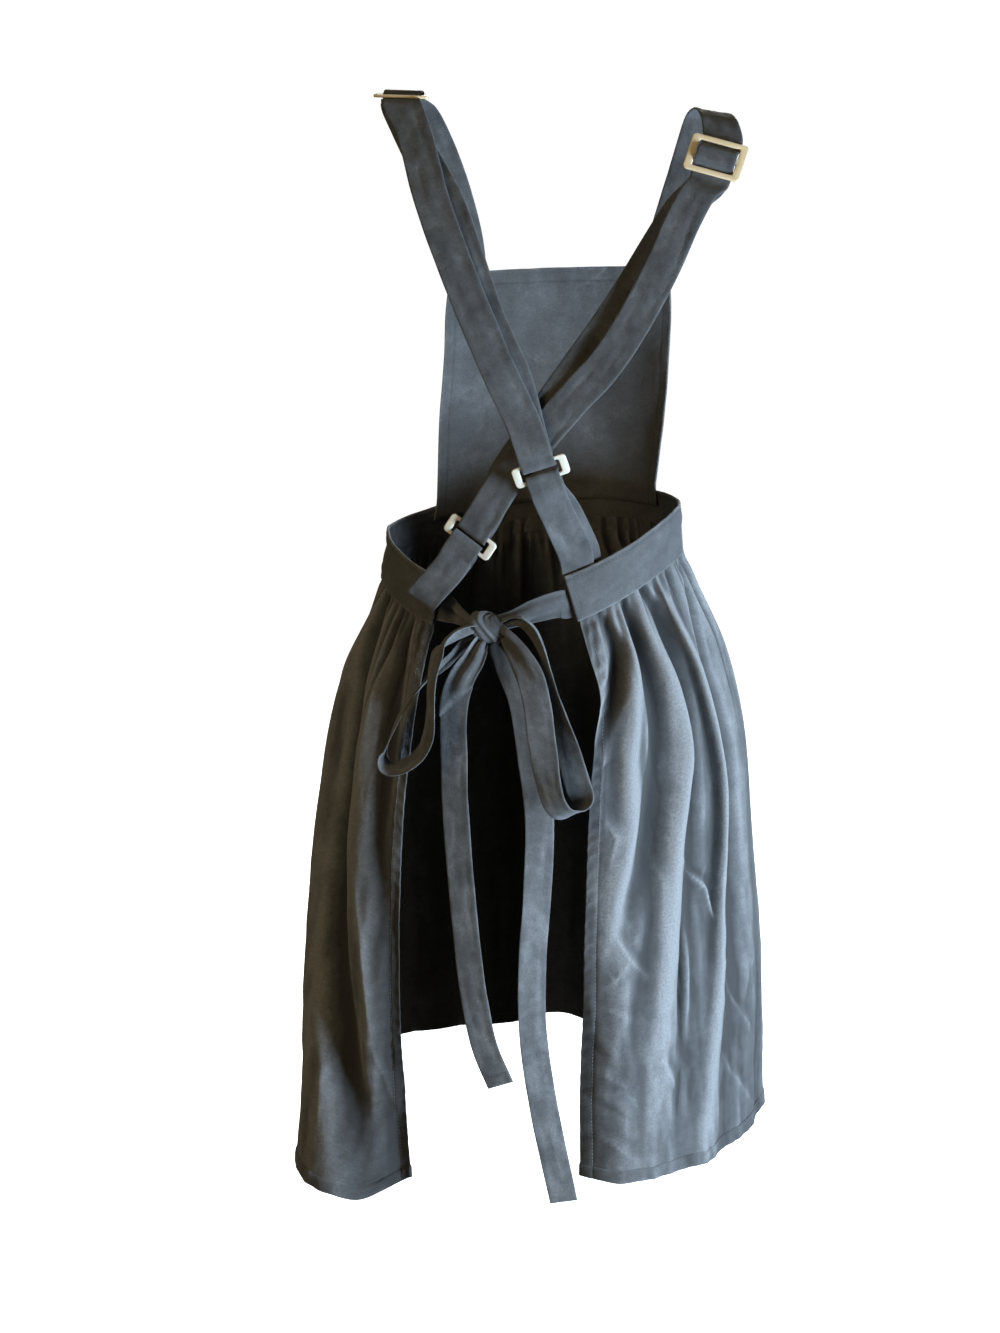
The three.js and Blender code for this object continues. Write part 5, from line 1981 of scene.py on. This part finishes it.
@dataclass
class Fitting:
    """Moulded frame with windows: a three-bar slider or a rectangular ring."""

    node: str
    place: Place
    length: float
    thickness: float
    windows: tuple[Pair, ...]
    edge_round: float
    width: float = 44.0
    window_width: float = 32.0
    corner: float = 3.2
    window_corner: float = 1.4
    soft_angle: float = 50.0
    smooth_angle: float = 40.0

    def block(self, size: Triple, centre: float, corner: float) -> bpy.types.Object:
        """Upright block with rounded corners.

        Args:
            size: its width, length and thickness in mm.
            centre: its place along the fitting.
            corner: radius of its corners.

        Returns:
            The block.
        """
        bpy.ops.object.select_all(action="DESELECT")
        bpy.ops.mesh.primitive_cube_add(size=1.0, location=(0, 0, 0))
        block = bpy.context.object
        block.scale = tuple(s * MM for s in size)
        block.location = (0, centre * MM, 0)
        bpy.ops.object.transform_apply(location=True, rotation=True, scale=True)
        bpy.ops.object.mode_set(mode="EDIT")
        bpy.ops.mesh.select_mode(type="EDGE")
        bpy.ops.mesh.select_all(action="DESELECT")
        bpy.ops.object.mode_set(mode="OBJECT")
        for edge in block.data.edges:
            a, b = (block.data.vertices[k].co for k in edge.vertices)
            edge.select = abs(a.z - b.z) > 1e-5
        bpy.ops.object.mode_set(mode="EDIT")
        bpy.ops.mesh.bevel(offset=corner * MM, segments=6, affect="EDGES")
        bpy.ops.object.mode_set(mode="OBJECT")
        return block

    def build(self) -> bpy.types.Object:
        """The fitting, seated on its strap."""
        body = self.block((self.width, self.length, self.thickness), 0, self.corner)
        for centre, opening in self.windows:
            cutter = self.block((self.window_width, opening, 4 * self.thickness), centre, self.window_corner)
            cut = body.modifiers.new("window", "BOOLEAN")
            cut.object, cut.operation, cut.solver = cutter, "DIFFERENCE", "EXACT"
            self.apply(body, cut)
            bpy.data.objects.remove(cutter)
        soft = body.modifiers.new("soft_edges", "BEVEL")
        soft.width, soft.segments, soft.limit_method = self.edge_round * MM, 4, "ANGLE"
        soft.angle_limit = math.radians(self.soft_angle)
        self.apply(body, soft)
        bpy.ops.object.shade_smooth_by_angle(angle=math.radians(self.smooth_angle))
        body.name = body.data.name = f"{self.node}_moulded"
        body.data.transform(self.place.matrix())
        return body

    @staticmethod
    def apply(body: bpy.types.Object, modifier: bpy.types.Modifier) -> None:
        """Applies a modifier with only its object selected."""
        bpy.ops.object.select_all(action="DESELECT")
        body.select_set(True)
        bpy.context.view_layer.objects.active = body
        bpy.ops.object.modifier_apply(modifier=modifier.name)


SLIDER_LENGTH, SLIDER_WALL, SLIDER_BAR, SLIDER_MIDDLE_BAR, SLIDER_ROUND = 30.0, 2.5, 4.0, 3.5, 0.7
RING_LENGTH, RING_WALL, RING_OPENING, RING_ROUND = 16.0, 3.0, 10.0, 0.9


def slider(side: Side) -> Fitting:
    """Three-bar slider of a strap."""
    opening = (SLIDER_LENGTH - 2 * SLIDER_BAR - SLIDER_MIDDLE_BAR) / 2
    centre = (SLIDER_MIDDLE_BAR + opening) / 2
    windows = ((centre, opening), (-centre, opening))
    node = f"slider_{side.name.lower()}"
    return Fitting(node, SLIDER_AT[side], SLIDER_LENGTH, SLIDER_WALL, windows, SLIDER_ROUND)


def ring(side: Side) -> Fitting:
    """Rectangular ring of a strap."""
    windows = ((0.0, RING_OPENING),)
    return Fitting(f"ring_{side.name.lower()}", RING_AT[side], RING_LENGTH, RING_WALL, windows, RING_ROUND)


# Studio


class Lamp(NamedTuple):
    """Soft square lamp: where it stands, what it points at, its side in metres, its watts and its colour."""

    name: str
    stand: Triple
    aim: Triple
    side: float
    watts: float
    colour: Triple


@dataclass
class Studio:
    """Plain pale floor, soft light and the camera, in metres and degrees."""

    floor_z: float = -1.32
    floor_size: float = 30.0
    floor_cells: int = 64
    floor_flat_radius: float = 6.0
    floor_sweep: float = 0.35
    floor_shades: Pair = (0.86, 0.9)
    floor_mottle: float = 1.3
    floor_roughness: float = 0.9
    floor_glow: float = 0.97
    floor_tint: Tint = (1.0, 0.995, 0.985, 1.0)
    lamps: tuple[Lamp, ...] = (
        Lamp("key", (1.05, -0.62, -0.5), (0.08, -0.05, -0.55), 0.4, 64.0, (0.68, 0.84, 1.0)),
        Lamp("fill", (-1.3, -1.9, 0.6), (-0.05, 0, -0.4), 1.2, 26.0, (1.0, 0.75, 0.4)),
        Lamp("front", (0.0, 2.6, 0.4), (0, 0, -0.45), 1.4, 110.0, (0.9, 0.96, 1.0)),
        Lamp("top", (0.2, 0.4, 2.2), (0, 0, -0.5), 2.0, 9.0, (1.0, 0.88, 0.66)),
    )
    sky: Tint = (1.0, 0.9, 0.72, 1.0)
    sky_strength: float = 0.08
    eye: Triple = (0.32993, -1.87113, 0.06)
    yaw: float = 10.7146
    pitch: float = 15.056
    roll: float = 1.9
    focal_px: float = 2378.0
    frame_px: float = 1333.0
    sensor_mm: float = 36.0

    def camera(self) -> None:
        """Camera at the photo's angle."""
        data = bpy.data.cameras.new("camera")
        data.sensor_width = self.sensor_mm
        data.lens = self.focal_px / self.frame_px * self.sensor_mm
        yaw, pitch, roll = (math.radians(a) for a in (self.yaw, self.pitch, self.roll))
        level = math.cos(pitch)
        ahead = Vector((-math.sin(yaw) * level, math.cos(yaw) * level, -math.sin(pitch)))
        right = Vector((math.cos(yaw), math.sin(yaw), 0))
        down = ahead.cross(right)
        across = right * math.cos(roll) - down * math.sin(roll)
        below = right * math.sin(roll) + down * math.cos(roll)
        turn = Matrix([[across[k], -below[k], -ahead[k], self.eye[k]] for k in range(3)] + [[0, 0, 0, 1]])
        camera = bpy.data.objects.new("camera", data)
        camera.matrix_world = turn
        bpy.context.scene.collection.objects.link(camera)
        bpy.context.scene.camera = camera

    def floor(self) -> None:
        """Wide white floor that sweeps up far away on all sides and throws no light back."""
        bpy.ops.object.select_all(action="DESELECT")
        cells = self.floor_cells
        bpy.ops.mesh.primitive_grid_add(x_subdivisions=cells, y_subdivisions=cells, size=self.floor_size)
        floor = bpy.context.object
        floor.name = "floor"
        for v in floor.data.vertices:
            rise = max(math.hypot(v.co.x, v.co.y) - self.floor_flat_radius, 0.0)
            v.co.z = self.floor_z + self.floor_sweep * rise * rise
        floor.visible_diffuse = floor.visible_glossy = False
        bpy.ops.object.shade_smooth()
        shader = Shader("pale_floor")
        soft = shader.noise(shader.place(), self.floor_mottle)
        low, high = ((grey, grey, grey) for grey in self.floor_shades)
        material = shader.dress({
            "Base Color": shader.blend(soft, low, high),
            "Roughness": self.floor_roughness,
            "Emission Color": self.floor_tint,
            "Emission Strength": self.floor_glow,
        })
        floor.data.materials.append(material)

    def light(self) -> None:
        """Cool key from the right, weak warm fill from the left, front and top lamps, dim surroundings."""
        for lamp in self.lamps:
            data = bpy.data.lights.new(lamp.name, "AREA")
            data.shape, data.size, data.energy, data.color = "SQUARE", lamp.side, lamp.watts, lamp.colour
            stood = bpy.data.objects.new(lamp.name, data)
            stood.location = lamp.stand
            stood.visible_camera = False
            way = Vector(lamp.aim) - Vector(lamp.stand)
            stood.rotation_euler = way.to_track_quat("-Z", "Y").to_euler()
            bpy.context.scene.collection.objects.link(stood)
        world = bpy.data.worlds.new("surroundings")
        world.use_nodes = True
        back = world.node_tree.nodes["Background"]
        back.inputs["Color"].default_value = self.sky
        back.inputs["Strength"].default_value = self.sky_strength
        bpy.context.scene.world = world
        bpy.context.scene.view_settings.view_transform = "Standard"

    def build(self) -> None:
        """Sets the studio up."""
        self.camera()
        self.floor()
        self.light()


# The apron


@dataclass
class Apron:
    """All the pieces, in the order they are made."""

    finishes: Finishes = field(default_factory=Finishes)
    waist: Waist = field(default_factory=Waist)

    def sheet(
        self, cloth: Cloth, name: str, thread: Cloth | None, flat: Pair, held: Held,
        rests_on: Sequence[str], extra: Sequence[bpy.types.Object] = (),
    ) -> None:
        """Makes and dresses one piece of cloth and its stitching, and logs the size of its cut.

        Args:
            cloth: its shape.
            name: the solid that it stands for.
            thread: its stitches, if any.
            flat: width and length of its cut, in mm.
            held: how it is held; not used.
            rests_on: what it hangs from; not used.
            extra: separate pieces that belong to it.
        """
        piece = cloth.object(f"{name}_cloth")
        seat(piece, self.finishes.cloth, [name])
        pieces = list(extra)
        if thread is not None:
            sewn = thread.object(f"{name}_stitches")
            seat(sewn, self.finishes.thread)
            pieces.append(sewn)
        cut = (flat[0] * MM, flat[1] * MM)
        log.info("%s: cut %.0f x %.0f mm", name, *flat)

    def body(self) -> None:
        """Band, skirt and bib."""
        band = Waistband(self.waist)
        cloth, thread = band.build()
        flat = (band.flat_length, self.waist.height)
        self.sheet(cloth, "waistband", thread, flat, Held.STRETCHED, ["bib"])
        skirt = Skirt(self.waist)
        cloth, thread = skirt.build()
        flat = (skirt.flat_width, skirt.flat_length)
        self.sheet(cloth, "skirt", thread, flat, Held.GATHERED, ["waistband"])
        bib = Bib(self.waist)
        cloth, thread = bib.build()
        flat = (bib.flat_width, bib.flat_length)
        self.sheet(cloth, "bib", thread, flat, Held.HUNG, ["strap_left", "strap_right"])

    def strap_pair(self) -> list[Strap]:
        """The left and the right strap with their routes."""
        bib = Bib(self.waist)
        return [
            Strap(
                Side.LEFT, bib,
                chest=((-82, 85, -104), (-98, 67, -46), (-113, 40, -6)),
                outer=((-100, -38, -17), (-74, -76, -71), (-50, -95, -118), (-32, -102, -154),
                       (-10, -105, -198), (6, -105, -228)),
                inner=((11, -100, -238), (-2, -100, -197), (-25, -96, -153), (-43, -88, -112),
                       (-66, -69, -68), (-92, -44, -36), (-108, -27, -14)),
            ),
            Strap(
                Side.RIGHT, bib,
                chest=((84, 84, -102), (102, 62, -45), (116, 32, -7), (127, 2, 2), (135, -20, -3)),
                outer=((128, -64, -54), (119, -78, -74), (108, -90, -105), (89, -98, -147), (67, -99, -184),
                       (45, -97, -210), (22, -95, -239), (-5, -92.5, -275)),
                inner=((-8, -86, -274), (14, -89, -239), (30, -92, -212), (47, -92, -186), (71, -90, -149),
                       (95, -81, -106), (117, -66, -66)),
            ),
        ]

    def straps(self) -> None:
        """Both straps and their fittings."""
        for strap in self.strap_pair():
            made = strap.ribbon()
            side = strap.side.name.lower()
            flat = (made.cut, made.length())
            self.sheet(made.build(), f"strap_{side}", None, flat, Held.HUNG, [f"slider_{side}"])
            for fitting, finish, slot in (
                (slider(strap.side), self.finishes.slider, Slot.SLIDER),
                (ring(strap.side), self.finishes.ring, Slot.RING),
            ):
                seat(fitting.build(), finish, [fitting.node])

    def loops(self) -> None:
        """The loops at the band's ends."""
        loops = {
            "back_loop_right": BackLoop(
                self.waist, RING_AT[Side.LEFT],
                outer=((32, -95, -296), (41, -87, -317), (48, -78, -337)),
                outer_end=(Sewn(333.5, 0.05, 1), Sewn(333, 0.2, 1)),
                inner=((53, -71.5, -337), (46, -81, -317), (36, -89, -296)),
                inner_end=(Sewn(330.5, 0.2, 2), Sewn(331, 0.05, 2)),
            ),
            "back_loop_left": BackLoop(
                self.waist, RING_AT[Side.RIGHT],
                outer=((-46.5, -97.5, -346.5), (-56, -99.5, -359), (-66, -98.5, -371), (-72, -94, -378.5),
                       (-72, -88, -379), (-67.5, -84.5, -374)),
                outer_end=(),
                inner=((-53, -77, -354), (-47, -82, -346)),
                inner_end=(Sewn(31, 0.15, 1), Sewn(30, 0.04, 1)),
                seed=75,
            ),
        }
        for name, loop in loops.items():
            made = loop.ribbon()
            self.sheet(made.build(), name, None, (made.cut, made.length()), Held.FOLDED, ["waistband"])

    def bow(self) -> None:
        """Both ties and the knot."""
        bow = Bow(self.waist)
        left = bow.left_tie()
        flat = (left.cut, left.length())
        self.sheet(left.build(), "tie_left", left.end_stitches(), flat, Held.HUNG, ["waistband"])
        knot = bow.knot().object("bow_knot")
        seat(knot, self.finishes.cloth)
        right = bow.right_ties()
        cloth = all_joined([tie.build() for tie in right])
        flat = (bow.width, sum(tie.length() for tie in right))
        self.sheet(cloth, "tie_right", right[-1].end_stitches(), flat, Held.HUNG, ["waistband"], [knot])

    def build(self) -> None:
        """Makes every piece."""
        self.straps()
        self.loops()
        self.body()
        self.bow()


def main() -> None:
    """Builds the studio and the apron."""
    logging.basicConfig(level=logging.INFO, format="%(message)s")
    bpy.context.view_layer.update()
    Studio().build()
    Apron().build()
    bpy.context.view_layer.update()


if __name__ == "__main__":
    main()
